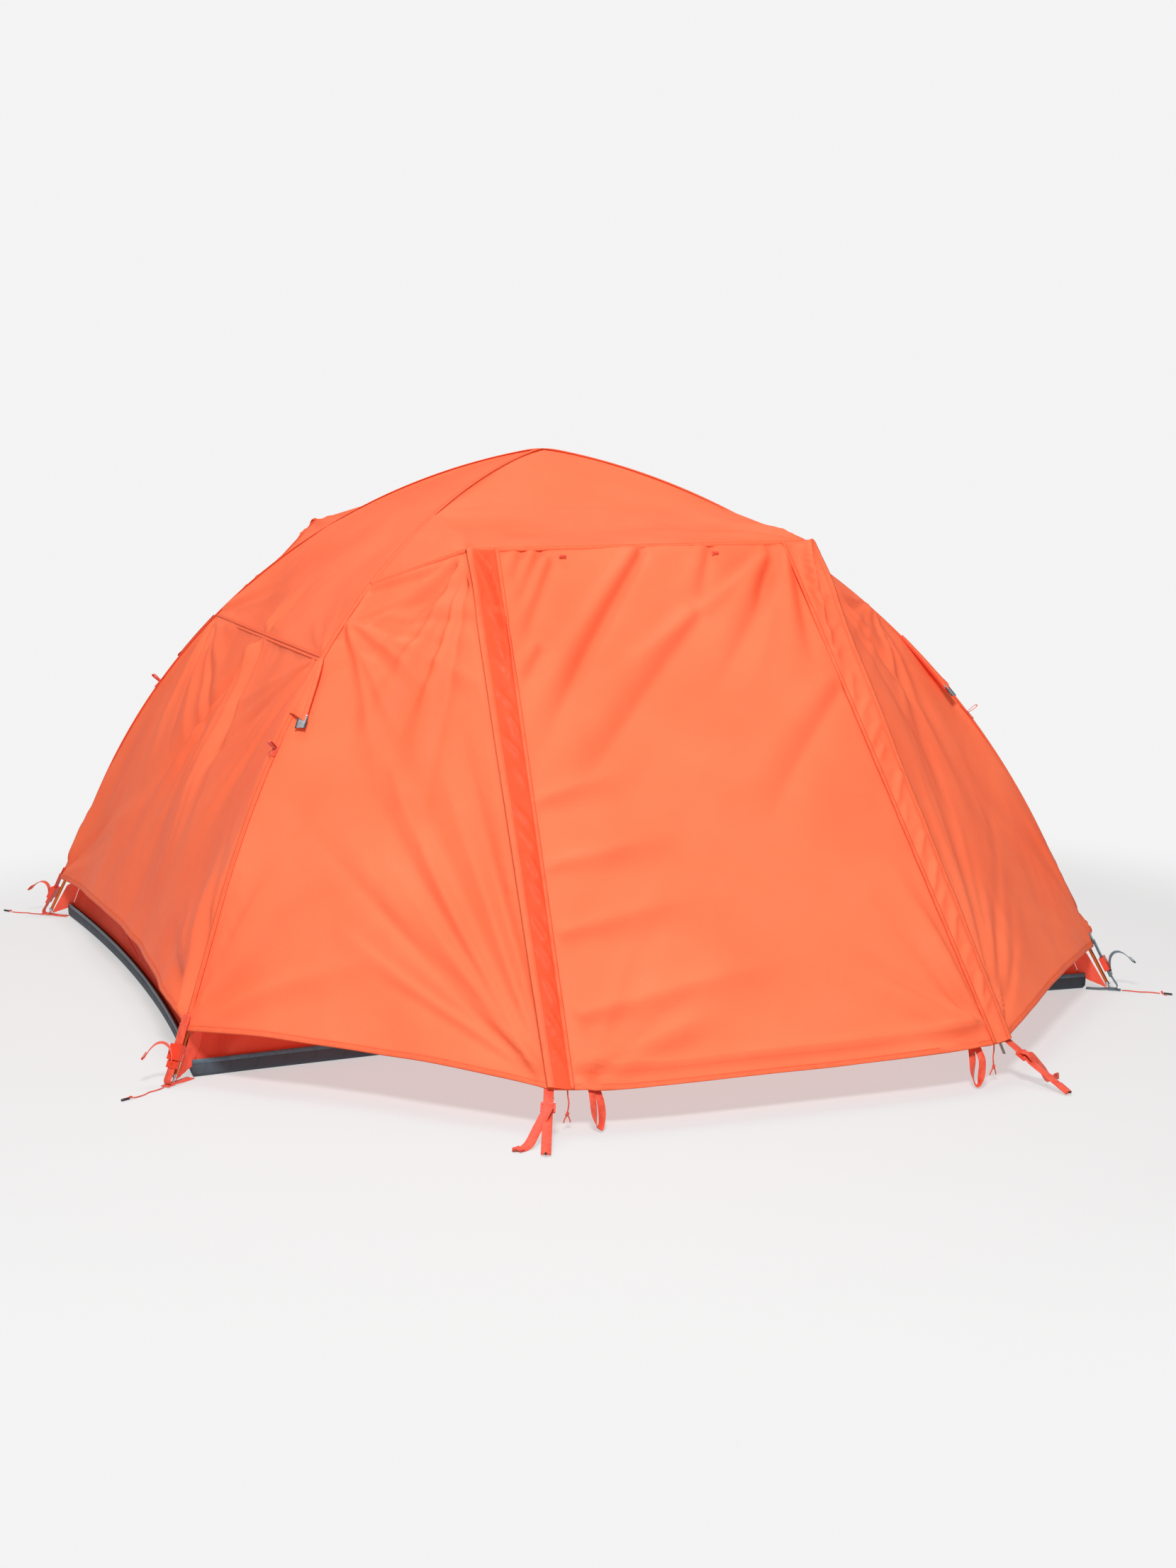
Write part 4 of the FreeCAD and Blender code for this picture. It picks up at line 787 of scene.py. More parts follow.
def dress_door(grid, seed):
    f = Folds(grid, seed)
    long_folds = (
        ((0.00, 0.51), (0.44, 0.07), -0.0100, 0.010, 3.0, 0.012),
        ((0.00, 0.16), (0.10, 0.10), -0.0050, 0.009, 2.0, 0.0),
        ((0.00, 0.21), (0.16, 0.09), -0.0060, 0.008, 2.2, 0.010),
        ((0.02, 0.24), (0.23, 0.09), -0.0060, 0.009, 2.4, 0.008),
        ((0.20, 0.16), (0.29, 0.08), -0.0050, 0.009, 2.0, 0.0),
        ((0.00, 0.70), (0.13, 0.61), -0.0045, 0.009, 2.4, 0.0),
        ((0.01, 0.88), (0.16, 0.76), -0.0060, 0.010, 2.6, 0.010),
        ((0.14, 0.62), (0.56, 0.09), -0.0060, 0.014, 2.8, 0.010),
        ((0.02, 0.94), (0.30, 0.86), -0.0050, 0.010, 2.6, 0.0),
        ((0.30, 0.94), (0.62, 0.55), -0.0050, 0.018, 2.4, 0.020),
        ((0.50, 0.05), (0.44, 0.34), 0.0050, 0.012, 2.8, 0.0),
        ((0.62, 0.05), (0.57, 0.40), 0.0050, 0.012, 3.0, 0.0),
        ((0.74, 0.05), (0.68, 0.42), 0.0055, 0.013, 3.0, 0.0),
        ((0.88, 0.06), (0.80, 0.62), 0.0060, 0.014, 3.2, 0.0),
        ((0.97, 0.05), (0.86, 0.45), 0.0050, 0.012, 3.0, 0.0),
        ((0.97, 0.95), (0.62, 0.86), 0.0060, 0.010, 3.2, 0.0),
        ((0.97, 0.96), (0.84, 0.66), 0.0055, 0.010, 3.2, 0.0),
    )
    for start, end, height, width, spread, bow in long_folds:
        f.crease(start, end, height * 1.25, width, spread, bow, 0.04, 0.5)
    f.fan((0.0, 0.92), (98, 150), (0.3, 0.9), 5, 0.0050, 0.009, 3.5)
    f.fan((1.0, 0.05), (-64, -8), (0.2, 0.5), 6, 0.0044, 0.007, 3.5)
    f.fan((1.0, 0.95), (188, 250), (0.2, 0.5), 6, 0.0044, 0.007, 3.5)
    f.crease((0.962, 0.02), (0.958, 0.98), 0.0080, 0.011, 1.0, 0.006, 0.04, 0.08)
    f.soft(0.0060, 0.26, 2.2, 130)
    f.crinkle(0.0010, 0.065, 2.6, 130)
    f.pucker("u0", 0.0036, 0.026, 0.045)
    f.pucker("v0", 0.0026, 0.024, 0.03)
    f.pucker("v1", 0.0026, 0.024, 0.03)
    f.pucker("u1", 0.0016, 0.030, 0.03)
    edge = np.minimum(f.v, 1 - f.v) * f.width[:, None]
    f.height *= 0.30 + 0.70 * smooth((edge - 0.045) / 0.045)
    return f.hold(["u0", "v0", "v1"], 0.014)


def roof_cap():
    """The sewn cap over the poles: two ends, two brows, two crowns and four gussets."""
    high = np.linspace(KNEE_REACH, 0.0, count_for(0.50))
    middle = np.linspace(GUSSET_REACH, KNEE_REACH, count_for(0.34))
    low = np.linspace(ROOF_REACH, GUSSET_REACH, count_for(0.25))
    ridge_high, ridge_middle = RIDGE.line(high), RIDGE.line(middle)
    ridge_all = np.concatenate([RIDGE.line(low), ridge_middle[1:], ridge_high[1:]])
    brow_line = between(BROW, ridge_high[0], len(middle))
    wide = count_for(2 * BROW[0])
    grids, pins, dresses = [], [], []
    for sx in (1, -1):
        grids.append(ruled(flip(ridge_all, sx, -1), flip(ridge_all, sx, 1), count_for(1.125)))
        pins.append(["u0", "v0", "v1"])
        dresses.append(dress_roof_end)
    for sy in (-1, 1):
        grids.append(ruled(flip(brow_line, -1, sy), flip(brow_line, 1, sy), wide))
        pins.append(["u0", "v0", "v1"])
        dresses.append(dress_brow)
        grids.append(ruled(flip(ridge_high, -1, sy), flip(ridge_high, 1, sy), wide))
        pins.append(["v0", "v1"])
        dresses.append(dress_crown)
    for _, sx, sy in CORNERS:
        grids.append(ruled(flip(ridge_middle, sx, sy), flip(brow_line, sx, sy), count_for(0.30)))
        pins.append(["u0", "v0", "v1"])
        dresses.append(dress_gusset)
    cap = Cloth(grids)
    cap.relax(pins, 200, 0.0000010)
    cap.raise_by([dress(g, 300 + k) for k, (g, dress) in enumerate(zip(grids, dresses))])
    obj = cap.build("roof_cap_cloth", FLY)
    settle(obj, "tent", "fly", "fly_roof_cap")
    declare(obj, cap)


def lift_hem(grid, rise, power, inward=(0, 0, 0)):
    """Arches the lower edge of a panel between its corners."""
    u = ramp(grid.shape[0])[:, None, None]
    v = ramp(grid.shape[1])[None, :, None]
    return grid + (UP * rise + np.asarray(inward)) * (4 * v * (1 - v)) * u**power


def end_walls():
    reach = np.linspace(ROOF_REACH, HEM_REACH, count_for(1.02))
    line = RIDGE.line(reach)
    for k, (name, sx) in enumerate((("left", -1), ("right", 1))):
        grid = ruled(flip(line, sx, -1), flip(line, sx, 1), count_for(1.45))
        u, v = ramp(grid.shape[0])[:, None, None], ramp(grid.shape[1])[None, :, None]
        dip = 4 * v * (1 - v) * np.sin(np.pi * u)
        grid = grid + np.array([-0.016 * sx, 0, -0.007]) * dip
        grid = lift_hem(grid, 0.040, 4, (-0.017 * sx, 0, 0))
        wall = Cloth([grid])
        wall.raise_by([dress_end(grid, 400 + k)])
        obj = wall.build(f"end_wall_cloth_{name}", FLY)
        settle(obj, "tent", "fly", f"fly_end_wall_{name}")
        declare(obj, wall)
        edges(wall, f"end_{name}", "tent")


def edges(cloth, name, body, sides=("u1",)):
    """Folded hems along a panel's free edges."""
    grid = cloth.grid(0)
    normal = cloth.normals()[cloth.index[0]]
    for side in sides:
        if side == "u1":
            edge, inward, n = grid[-1], grid[-3] - grid[-1], normal[-1]
        elif side == "v1":
            edge, inward, n = grid[:, -1], grid[:, -3] - grid[:, -1], normal[:, -1]
        else:
            edge, inward, n = grid[:, 0], grid[:, 2] - grid[:, 0], normal[:, 0]
        obj = hem(f"hem_{name}_{side}", edge, inward, n, 0.013, HEM)
        settle(obj, body, "fly")


def porch_sides():
    reach = np.linspace(GUSSET_REACH, HEM_REACH, count_for(1.29))
    ridge = RIDGE.line(reach)
    edge = between(BROW, PORCH, len(reach))
    for k, (name, sx, sy) in enumerate(CORNERS):
        grid = ruled(flip(ridge, sx, sy), flip(edge, sx, sy), count_for(0.62))
        u, v = ramp(grid.shape[0])[:, None, None], ramp(grid.shape[1])[None, :, None]
        dip = 4 * v * (1 - v) * np.sin(np.pi * u)
        grid = grid + np.array([-0.005 * sx, -0.005 * sy, -0.004]) * dip
        grid = lift_hem(grid, 0.018, 6)
        side = Cloth([grid])
        side.raise_by([dress_side(grid, 500 + k)])
        obj = side.build(f"porch_side_cloth_{name}", FLY)
        settle(obj, "tent", "fly", f"fly_porch_side_{name}")
        declare(obj, side)
        edges(side, f"side_{name}", "tent")


def door_point(along, across):
    """Points of the rear door: along from brow to hem, across from -1 to 1."""
    along, across = np.broadcast_arrays(np.asarray(along, float), np.asarray(across, float))
    top = np.stack([BROW[0] * across, BROW[1] + 0 * across, BROW[2] + 0 * across], -1)
    low_y = PORCH_OUT - (PORCH_OUT - PORCH[1]) * np.abs(across) ** 5
    low = np.stack([PORCH[0] * across, low_y, PORCH[2] + 0 * across], -1)
    return top + (low - top) * along[..., None]


FLAP_TOP, FLAP_FOOT = 0.070, 0.042


def flap_grid(rows, columns):
    """One storm flap over the door's +X edge, from its stitched line to its free edge."""
    u = ramp(rows)[:, None]
    half = BROW[0] + (PORCH[0] - BROW[0]) * u
    wide = FLAP_TOP + (FLAP_FOOT - FLAP_TOP) * u
    t = ramp(columns)[None, :]
    across = 1 - wide / half * (1 - t * 1.06)
    grid = door_point(u + 0 * t, across)
    return grid


def doors():
    rows = count_for(1.29)
    for k, (name, sy) in enumerate(SIDES):
        u, v = ramp(rows)[:, None], np.linspace(-1, 1, count_for(0.98))[None, :]
        grid = flip(door_point(u + 0 * v, v + 0 * u), 1, sy)
        door = Cloth([grid])
        door.raise_by([dress_door(grid, 600 + k)])
        obj = door.build(f"door_cloth_{name}", FLY)
        settle(obj, f"porch_door_{name}", "fly", f"fly_door_{name}")
        declare(obj, door)
        edges(door, f"door_{name}", f"porch_door_{name}")
        for q, sx in enumerate((-1, 1)):
            grid = flip(flap_grid(int(rows * 1.3), 15), sx, sy)
            flap = Cloth([grid])
            f = Folds(grid, 700 + 2 * k + q)
            for n in range(5):
                f.crease((0.0, 0.90 - 0.12 * n), (0.10 + 0.055 * n, 0.06), f.rng.uniform(0.004, 0.007),
                         0.0055, 1.8, 0.02, 0.05, 0.3)
            for n in range(17):
                start = 0.06 + 0.054 * n + f.rng.uniform(-0.012, 0.012)
                rise = f.rng.uniform(0.0025, 0.0058)
                f.crease((start, f.rng.uniform(0.5, 0.95)), (start + f.rng.uniform(0.03, 0.075), 0.04),
                         rise, 0.0060, 1.5, 0.03, 0.3, 0.25)
            f.crinkle(0.0012, 0.020, 2.0, 60)
            f.soft(0.0030, 0.10, 1.5, 90)
            f.pucker("v0", 0.0030, 0.016, 0.02)
            t = f.v
            gap = 0.012 * t**2 * np.exp(-((f.u - 0.09) / 0.06) ** 2)
            lift = 0.0026 + 0.0090 * smooth(t) + gap + f.height * smooth(t / 0.2)
            lift = np.maximum(lift, 0.0018) * smooth((f.u + 0.004) / 0.012)
            flap.raise_by([np.maximum(lift, 0.0014)])
            side = "left" if sx < 0 else "right"
            # The left flap takes the painted shade copy of the fly cloth, the right flap the fly cloth
            # itself.
            obj = flap.build(f"storm_flap_{name}_{side}", SHADED_FLAP_CLOTH if sx < 0 else FLY)
            settle(obj, f"porch_door_{name}", "fly")
            if q == 0:
                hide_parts(f"storm_flaps_{name}")
            declare(obj, flap)
            edges(flap, f"flap_{name}_{side}", f"porch_door_{name}", ("v1",))
            inner_line = flap.grid(0)[:, 0]
            normal = flap.normals()[flap.index[0][:, 0]]
            settle(seam(f"flap_seam_{name}_{side}", inner_line + normal * 0.0012, normal, 0.010, SEAM),
                   f"porch_door_{name}", "fly")


def seams():
    reach = np.linspace(0.0, HEM_REACH - 0.002, 130)
    for name, sx, sy in CORNERS:
        line = RIDGE.line(reach)
        tangent = unit(np.gradient(line, axis=0))
        out = unit([HALF_LENGTH, HALF_WIDTH, 0])
        normal = unit(np.cross(tangent, np.cross(out, UP)))
        normal = normal * np.sign(normal[:, 2:3] + 1e-9)
        settle(seam(f"ridge_seam_{name}", flip(line + normal * 0.0006, sx, sy), flip(normal, sx, sy),
                    0.013, SEAM), "tent", "fly")
        line = between(RIDGE.line(GUSSET_REACH), BROW, 40)
        settle(seam(f"gusset_seam_{name}", flip(line, sx, sy), flip([0.45, 0.62, 0.64], sx, sy), 0.012,
                    SEAM), "tent", "fly")
    for name, sx in (("left", -1), ("right", 1)):
        line = between(flip(RIDGE.line(ROOF_REACH), sx, -1), flip(RIDGE.line(ROOF_REACH), sx, 1), 110)
        for k, slip in enumerate((0.0, 0.009)):
            settle(seam(f"end_seam_{name}_{k}", line + np.array([slip * 0.45 * sx, 0, -slip * 0.85]),
                        [0.8 * sx, 0, 0.6], 0.008, SEAM), "tent", "fly")
    for name, sy in SIDES:
        line = between(flip(BROW, -1, sy), flip(BROW, 1, sy), 90)
        settle(seam(f"brow_seam_{name}", line, [0, 0.75 * sy, 0.66], 0.013, SEAM), "tent", "fly")


# ---------------------------------------------------------------- inner tent


def floor_edge(corner, bow, count):
    """The floor's outline, from the front left corner round the front, right, rear and left."""
    cx, cy = corner
    sides = []
    for (x0, y0), (x1, y1), (nx, ny) in (
        ((-cx, -cy), (cx, -cy), (0, 1)), ((cx, -cy), (cx, cy), (-1, 0)),
        ((cx, cy), (-cx, cy), (0, -1)), ((-cx, cy), (-cx, -cy), (1, 0)),
    ):
        t = ramp(count)[:-1]
        dip = 4 * t * (1 - t) * bow
        sides.append(np.stack([x0 + (x1 - x0) * t + nx * dip, y0 + (y1 - y0) * t + ny * dip], -1))
    return np.concatenate(sides)


def floor():
    corner = INNER.line(1.392)[:2]
    ring = floor_edge(corner, 0.042, 90)
    rings = []
    heights = [(0.034, 1.0), (0.033, 1.0009), (0.020, 1.0012), (0.008, 1.0006), (0.0012, 0.997),
               (0.0006, 0.985)]
    n = len(ring)
    wob = lattice(np.arange(n) / 9.0, np.arange(n) * 0 + 3.0, 5)
    outward = unit(np.concatenate([ring, np.zeros((n, 1))], 1))[:, :2]
    for z, s in heights:
        p = np.concatenate([ring * s, np.full((n, 1), z)], 1)
        p[:, :2] += outward * (wob * 0.0016 * math.sin(math.pi * z / 0.034))[:, None]
        rings.append(p)
    for s in np.linspace(0.965, 0.0, 28):
        p = np.concatenate([ring * s, np.zeros((n, 1))], 1)
        p[:, 2] = 0.0016 + 0.0012 * lattice(p[:, 0] * 9 + 20, p[:, 1] * 9 + 20, 6)
        rings.append(p)
    verts = np.concatenate(rings)
    faces, uvs = [], []
    for i in range(len(rings) - 1):
        for j in range(n):
            q = (j + 1) % n
            face = [i * n + j, (i + 1) * n + j, (i + 1) * n + q, i * n + q]
            faces.append(face)
            uvs += [(verts[k][0] + verts[k][2], verts[k][1]) for k in face]
    obj = new_mesh("floor_tub_cloth", verts, faces, uvs, FLOOR_CLOTH)
    settle(obj, "tent", "floor", "floor_tub")
    line = np.concatenate([ring, np.full((n, 1), 0.0345)], 1)
    out = unit(np.concatenate([ring, np.zeros((n, 1))], 1))
    settle(band("floor_seam", line, out, 0.010, 0.0024, WEB_GREY, close=True), "tent", "floor")


DOOR = dict(half=0.280, low=0.105, high=0.770, corner=0.250)


def door_outline(play, count):
    """The inner door's outline in X and Z, anticlockwise from its low left corner."""
    half, low, high = DOOR["half"] + play, DOOR["low"] - play, DOOR["high"] + play
    r = DOOR["corner"]
    a = np.linspace(0, math.pi / 2, 16)
    right = np.stack([half - r + r * np.cos(a), high - r + r * np.sin(a)], -1)
    left = np.stack([-half + r - r * np.sin(a), high - r + r * np.cos(a)], -1)
    ring = np.concatenate([[[-half, low], [half, low]], right, left, [[-half, low]]])
    line = resample(np.concatenate([ring, np.zeros((len(ring), 1))], 1), count)
    return line[:, :2]


def inside_door(x, z, play=0.0):
    half, low, high = DOOR["half"] + play, DOOR["low"] - play, DOOR["high"] + play
    r = DOOR["corner"]
    dx = np.maximum(np.abs(x) - (half - r), 0)
    dz = np.maximum(z - (high - r), 0)
    return (np.abs(x) < half) & (z > low) & (z < high) & (np.hypot(dx, dz) < r)


def inner_walls():
    low = float(INNER.reach_on_leg(0.034))
    reach = np.linspace(low, 0.010, 100)
    line = INNER.line(reach)
    u = ramp(len(reach))
    for k, (name, sx) in enumerate((("left", -1), ("right", 1))):
        grid = ruled(flip(line, sx, -1), flip(line, sx, 1), 120)
        v = ramp(120)
        grid[..., 0] -= sx * 0.042 * ((1 - u) ** 2)[:, None] * (4 * v * (1 - v))[None]
        wall = Cloth([grid])
        wall.raise_by([dress_inner(grid, 800 + k)])
        obj = wall.build(f"inner_cloth_{name}", INNER_CLOTH)
        settle(obj, "tent", "inner_fabric", f"inner_wall_{name}")
        declare(obj, wall)
    for k, (name, sy) in enumerate(SIDES):
        grid = ruled(flip(line, -1, sy), flip(line, 1, sy), 200)
        v = ramp(200)
        grid[..., 1] -= sy * 0.042 * ((1 - u) ** 2)[:, None] * (4 * v * (1 - v))[None]
        whole = Cloth([grid])
        lift = dress_inner(grid, 820 + k)
        x, z = grid[..., 0], grid[..., 2]
        near = door_outline(0.0, 400)
        gap = np.sqrt(((np.stack([x, z], -1)[:, :, None] - near[None, None]) ** 2).sum(-1)).min(-1)
        lift = lift * smooth((gap - 0.006) / 0.03)
        whole.raise_by([lift])
        verts = whole.verts.copy()
        hole = inside_door(verts[:, 0], verts[:, 2])
        snap_pieces(whole, verts, hole, near, name)


def dress_inner(grid, seed):
    f = Folds(grid, seed)
    f.fan((0.0, 0.02), (15, 75), (0.3, 0.8), 9, 0.0050, 0.008, 4.0)
    f.fan((0.0, 0.98), (105, 165), (0.3, 0.8), 9, 0.0050, 0.008, 4.0)
    f.soft(0.006, 0.16, 1.8, 80)
    f.crinkle(0.0018, 0.05, 2.0, 75)
    f.pucker("u0", 0.003, 0.03, 0.05)
    return f.hold(["u0", "u1", "v0", "v1"])


def snap_pieces(whole, verts, hole, outline, name):
    """Splits a long inner wall into the wall and its door along the door's outline."""
    faces = whole.faces
    inner = [f for f in faces if sum(hole[i] for i in f) * 2 > len(f)]
    kept = [(f, uv) for f, uv in zip(faces, whole.uvs) if sum(hole[i] for i in f) * 2 <= len(f)]
    inner_set = {i for f in inner for i in f}
    outer_set = {i for f, _ in kept for i in f}
    border = sorted(inner_set & outer_set)
    moved = verts.copy()
    for i in border:
        d = ((outline - verts[i, [0, 2]]) ** 2).sum(1)
        near = outline[int(d.argmin())]
        moved[i, 0], moved[i, 2] = near
    inner_uv = [uv for f, uv in zip(faces, whole.uvs) if sum(hole[i] for i in f) * 2 > len(f)]
    for part, chosen, uvs, mat, body, node_name, slot in (
        ("wall", [f for f, _ in kept], [uv for _, uv in kept], INNER_CLOTH, "tent", f"inner_wall_{name}",
         "inner_fabric"),
        ("door", inner, inner_uv, INNER_MESH, f"inner_door_{name}", f"inner_door_{name}", "inner_mesh"),
    ):
        used = sorted({i for f in chosen for i in f})
        place = {i: k for k, i in enumerate(used)}
        mesh_faces = [[place[i] for i in f] for f in chosen]
        points = moved[used].copy()
        if part == "door":
            shrink = np.array([place[i] for i in border if i in place])
            centre = np.array([0, 0, (DOOR["low"] + DOOR["high"]) / 2])
            points[shrink] = points[shrink] + unit((centre - points[shrink]) * [1, 0, 1]) * 0.003
        obj = new_mesh(f"inner_{part}_{name}_cloth", points, mesh_faces, [p for uv in uvs for p in uv], mat)
        settle(obj, body, slot, node_name)
    sy = -1 if name == "front" else 1
    path = np.array([[x, surface_y(whole, x, z, sy), z] for x, z in door_outline(0.001, 220)])
    settle(band(f"inner_zip_{name}", path, [0.0, float(sy), 0.35], 0.014, 0.002, ZIP), "tent", "zip")


def surface_y(cloth, x, z, sy):
    d = (cloth.verts[:, 0] - x) ** 2 + (cloth.verts[:, 2] - z) ** 2
    k = np.argsort(d)[:4]
    w = 1 / (d[k] + 1e-6)
    return float((cloth.verts[k, 1] * w).sum() / w.sum()) + sy * 0.0035


# ---------------------------------------------------------------- webbing and cords


def strap(name, points, up, width, body, slot, mat, thick=0.0018, count=60, wide=None):
    return settle(band(name, curve_through(points, count), up, width, thick, mat, wide=wide), body, slot)


def lathe(name, start, direction, profile, mat, sides=14):
    """A turned piece: (distance, radius) pairs along a direction."""
    start, d = np.asarray(start, float), unit(direction)
    side = unit(np.cross(d, [0.31, 0.17, 0.93]))
    other = np.cross(d, side)
    angles = np.linspace(0, 2 * np.pi, sides, endpoint=False)
    rings = [start + d * t + (side[None] * np.cos(angles)[:, None] + other[None] * np.sin(angles)[:,
                                                                                                  None]) * r
             for t, r in profile]
    verts = np.concatenate(rings)
    faces = [[i * sides + j, i * sides + (j + 1) % sides, (i + 1) * sides + (j + 1) % sides,
              (i + 1) * sides + j]
             for i in range(len(profile) - 1) for j in range(sides)]
    faces.append(list(range(sides))[::-1])
    faces.append([(len(profile) - 1) * sides + j for j in range(sides)])
    return new_mesh(name, verts, faces, [(0.0, 0.0)] * sum(len(f) for f in faces), mat)


def knot(name, centre, size, thick, mat, seed=0):
    """A small overhand knot drawn tight."""
    t = np.linspace(0, 2 * np.pi, 72, endpoint=False)
    loop = np.stack([np.sin(t) + 2 * np.sin(2 * t), np.cos(t) - 2 * np.cos(2 * t), -np.sin(3 * t)], -1) / 3
    turn = 0.7 + seed
    c, q = math.cos(turn), math.sin(turn)
    loop = np.stack([loop[:, 0] * c - loop[:, 2] * q, loop[:, 1], loop[:, 0] * q + loop[:, 2] * c], -1)
    line = np.asarray(centre) + loop * (size - thick)
    angles = np.linspace(0, 2 * np.pi, 9, endpoint=False)
    section = [(thick * math.cos(a), thick * math.sin(a)) for a in angles]
    return band(name, line, [0.21, 0.35, 0.91], 2 * thick, 2 * thick, mat, section, close=True)


def on_leg(arch, outwards, sideways, along):
    """A point beside a pole's straight leg, in the pole's plane frame."""
    lean = math.atan2(arch.foot - arch.leg_reach, arch.leg_height)
    return [DIAGONAL + outwards * math.cos(lean) - along * math.sin(lean), sideways,
            outwards * math.sin(lean) + along * math.cos(lean)]


def free_cord(name, route, body, diameter, mat):
    """A cord as an open curve through its route's points."""
    data = bpy.data.curves.new(name, "CURVE")
    data.dimensions = "3D"
    data.bevel_depth = diameter / 2
    data.bevel_resolution = 3
    data.resolution_u = 8
    data.use_fill_caps = True
    line = data.splines.new("NURBS")
    line.points.add(len(route) - 1)
    for point, place in zip(line.points, route):
        point.co = (*[float(x) for x in place], 1.0)
    line.order_u = 3
    line.use_endpoint_u = True
    obj = bpy.data.objects.new(name, data)
    bpy.context.scene.collection.objects.link(obj)
    data.materials.append(mat)
    settle(obj, body, "cord")
    return obj


STAKE_ROUTE = [(1.4815, 0.0, 0.0017), (1.502, 0.003, 0.0017), (1.524, -0.004, 0.0017),
               (1.547, 0.004, 0.0017),
               (1.572, -0.002, 0.0017)]


def corner_webbing():
    """Webbing, buckle tails and stake cords at the four corners of the floor."""
    for name, sx, sy in CORNERS:
        arch = UPPER if sx == sy else LOWER
        web = WEB_GREY if sx > 0 else WEB_RED
        first = name == "front_left"
        side = turned([0.0, 1.0, 0.0], sx, sy)
        plug = f"buckle_plug_{name}"
        plate = [[1.396, 0, 0.0016], [1.425, 0, 0.0020], [1.445, 0, 0.0036], [1.458, 0, 0.0040],
                 [1.479, 0, 0.0026]]
        obj = strap(f"corner_web_{name}", turned(plate, sx, sy), UP, 0.022, "tent", "webbing", web, 0.0015)
        if first:
            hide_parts("corner_webbing")
        start, end = on_leg(arch, 0.019, 0, 0.006), on_leg(arch, 0.017, 0, 0.034)
        rise = [[1.452, 0, 0.0052], [1.468, 0, 0.0060], start, on_leg(arch, 0.018, 0, 0.020), end]
        obj = band(f"leg_web_{name}", curve_through(turned(rise, sx, sy), 40), UP, 0.019, 0.0016, web,
                   wide=side)
        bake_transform(obj)
        swing = {"front_left": -55, "front_right": 20, "rear_left": 5, "rear_right": 40}[name]
        c, q = math.cos(math.radians(swing)), math.sin(math.radians(swing))
        arc = [(0.0, 0.044), (0.004, 0.058), (0.014, 0.074), (0.028, 0.080), (0.042, 0.074),
               (0.052, 0.058), (0.058, 0.038)]
        tail = [on_leg(arch, 0.0215 + a * c, a * q, z) for a, z in arc]
        slant = unit(turned([-q, c, 0.0], sx, sy))
        strap(f"buckle_tail_{name}", turned(tail, sx, sy), UP, 0.0180, plug, "webbing", web, 0.0015, 60,
              wide=slant)
        arc = [(0.0540, 0.052), (0.0595, 0.0380), (0.0605, 0.0355), (0.0620, 0.0385), (0.0575, 0.052)]
        fold = [on_leg(arch, 0.0215 + a * c, a * q, z) for a, z in arc]
        strap(f"tail_fold_{name}", turned(fold, sx, sy), UP, 0.0180, plug, "webbing", web, 0.0014, 30,
              wide=slant)
        for k, lift in enumerate((0.0, 0.0022)):
            tab = [on_leg(arch, 0.0172 + lift, 0, 0.150 - 0.02 * k), on_leg(arch, 0.0168 + lift, 0, 0.118),
                   on_leg(arch, 0.0160 + lift, 0, 0.098), on_leg(arch, 0.0160 + lift, 0, 0.0845)]
            obj = strap(f"hem_web_{name}_{k}", turned(tab, sx, sy), UP, 0.020, "tent", "webbing", web,
                        0.0016, 24, wide=side)
            if first and k == 0:
                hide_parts("hem_webbing")
        low = INNER.line(np.linspace(float(INNER.reach_on_leg(0.030)), float(INNER.reach_on_leg(0.110)),
                                     12))
        reach = np.hypot(low[:, 0], low[:, 1])
        inner = turned(np.stack([reach + 0.001, reach * 0, low[:, 2]], -1), sx, sy)
        outer = turned(between([1.446, 0, 0.0062], on_leg(arch, -0.011, 0, 0.108), 12), sx, sy)
        cloth = Cloth([ruled(inner, outer, 9)])
        f = Folds(cloth.grids[0], 41)
        f.crinkle(0.003, 0.016, 2.0, 60)
        cloth.raise_by([f.hold(["v0", "v1"], 0.01)])
        obj = cloth.build(f"corner_gusset_{name}", INNER_CLOTH)
        settle(obj, "tent", "inner_fabric")
        declare(obj, cloth)
        route = turned(STAKE_ROUTE, sx, sy)
        lump = knot(f"stake_knot_{name}", turned([1.5775, -0.0032, 0.0048], sx, sy), 0.0044, 0.0014,
                    CORD_RED, sx)
        cap = lathe(f"stake_end_{name}", turned([1.5815, -0.0040, 0.0030], sx, sy),
                    turned([1, -0.24, 0], sx, sy),
                    [(0.0, 0.0016), (0.0012, 0.0024), (0.0150, 0.0027), (0.0205, 0.0023),
                     (0.0212, 0.0012)], BLACK)
        wisp = [[1.5780, -0.0060, 0.0040], [1.5800, -0.0110, 0.0030], [1.5850, -0.0150, 0.0016],
                [1.5900, -0.0170, 0.0014]]
        whisker = band(f"stake_whisker_{name}", curve_through(turned(wisp, sx, sy), 16), UP, 0.0020,
                       0.0020, CORD_RED,
                       [(0.001 * math.cos(a), 0.001 * math.sin(a)) for a in np.linspace(0, 5.5, 8)])
        for piece in (lump, cap, whisker):
            settle(piece, "tent", "cord_end" if piece is cap else "cord")
        if first:
            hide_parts("stake_cord_ends")
        cord = free_cord(f"stake_line_{name}", route, "tent", 0.003, CORD_RED)
        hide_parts(f"stake_cord_{name}")


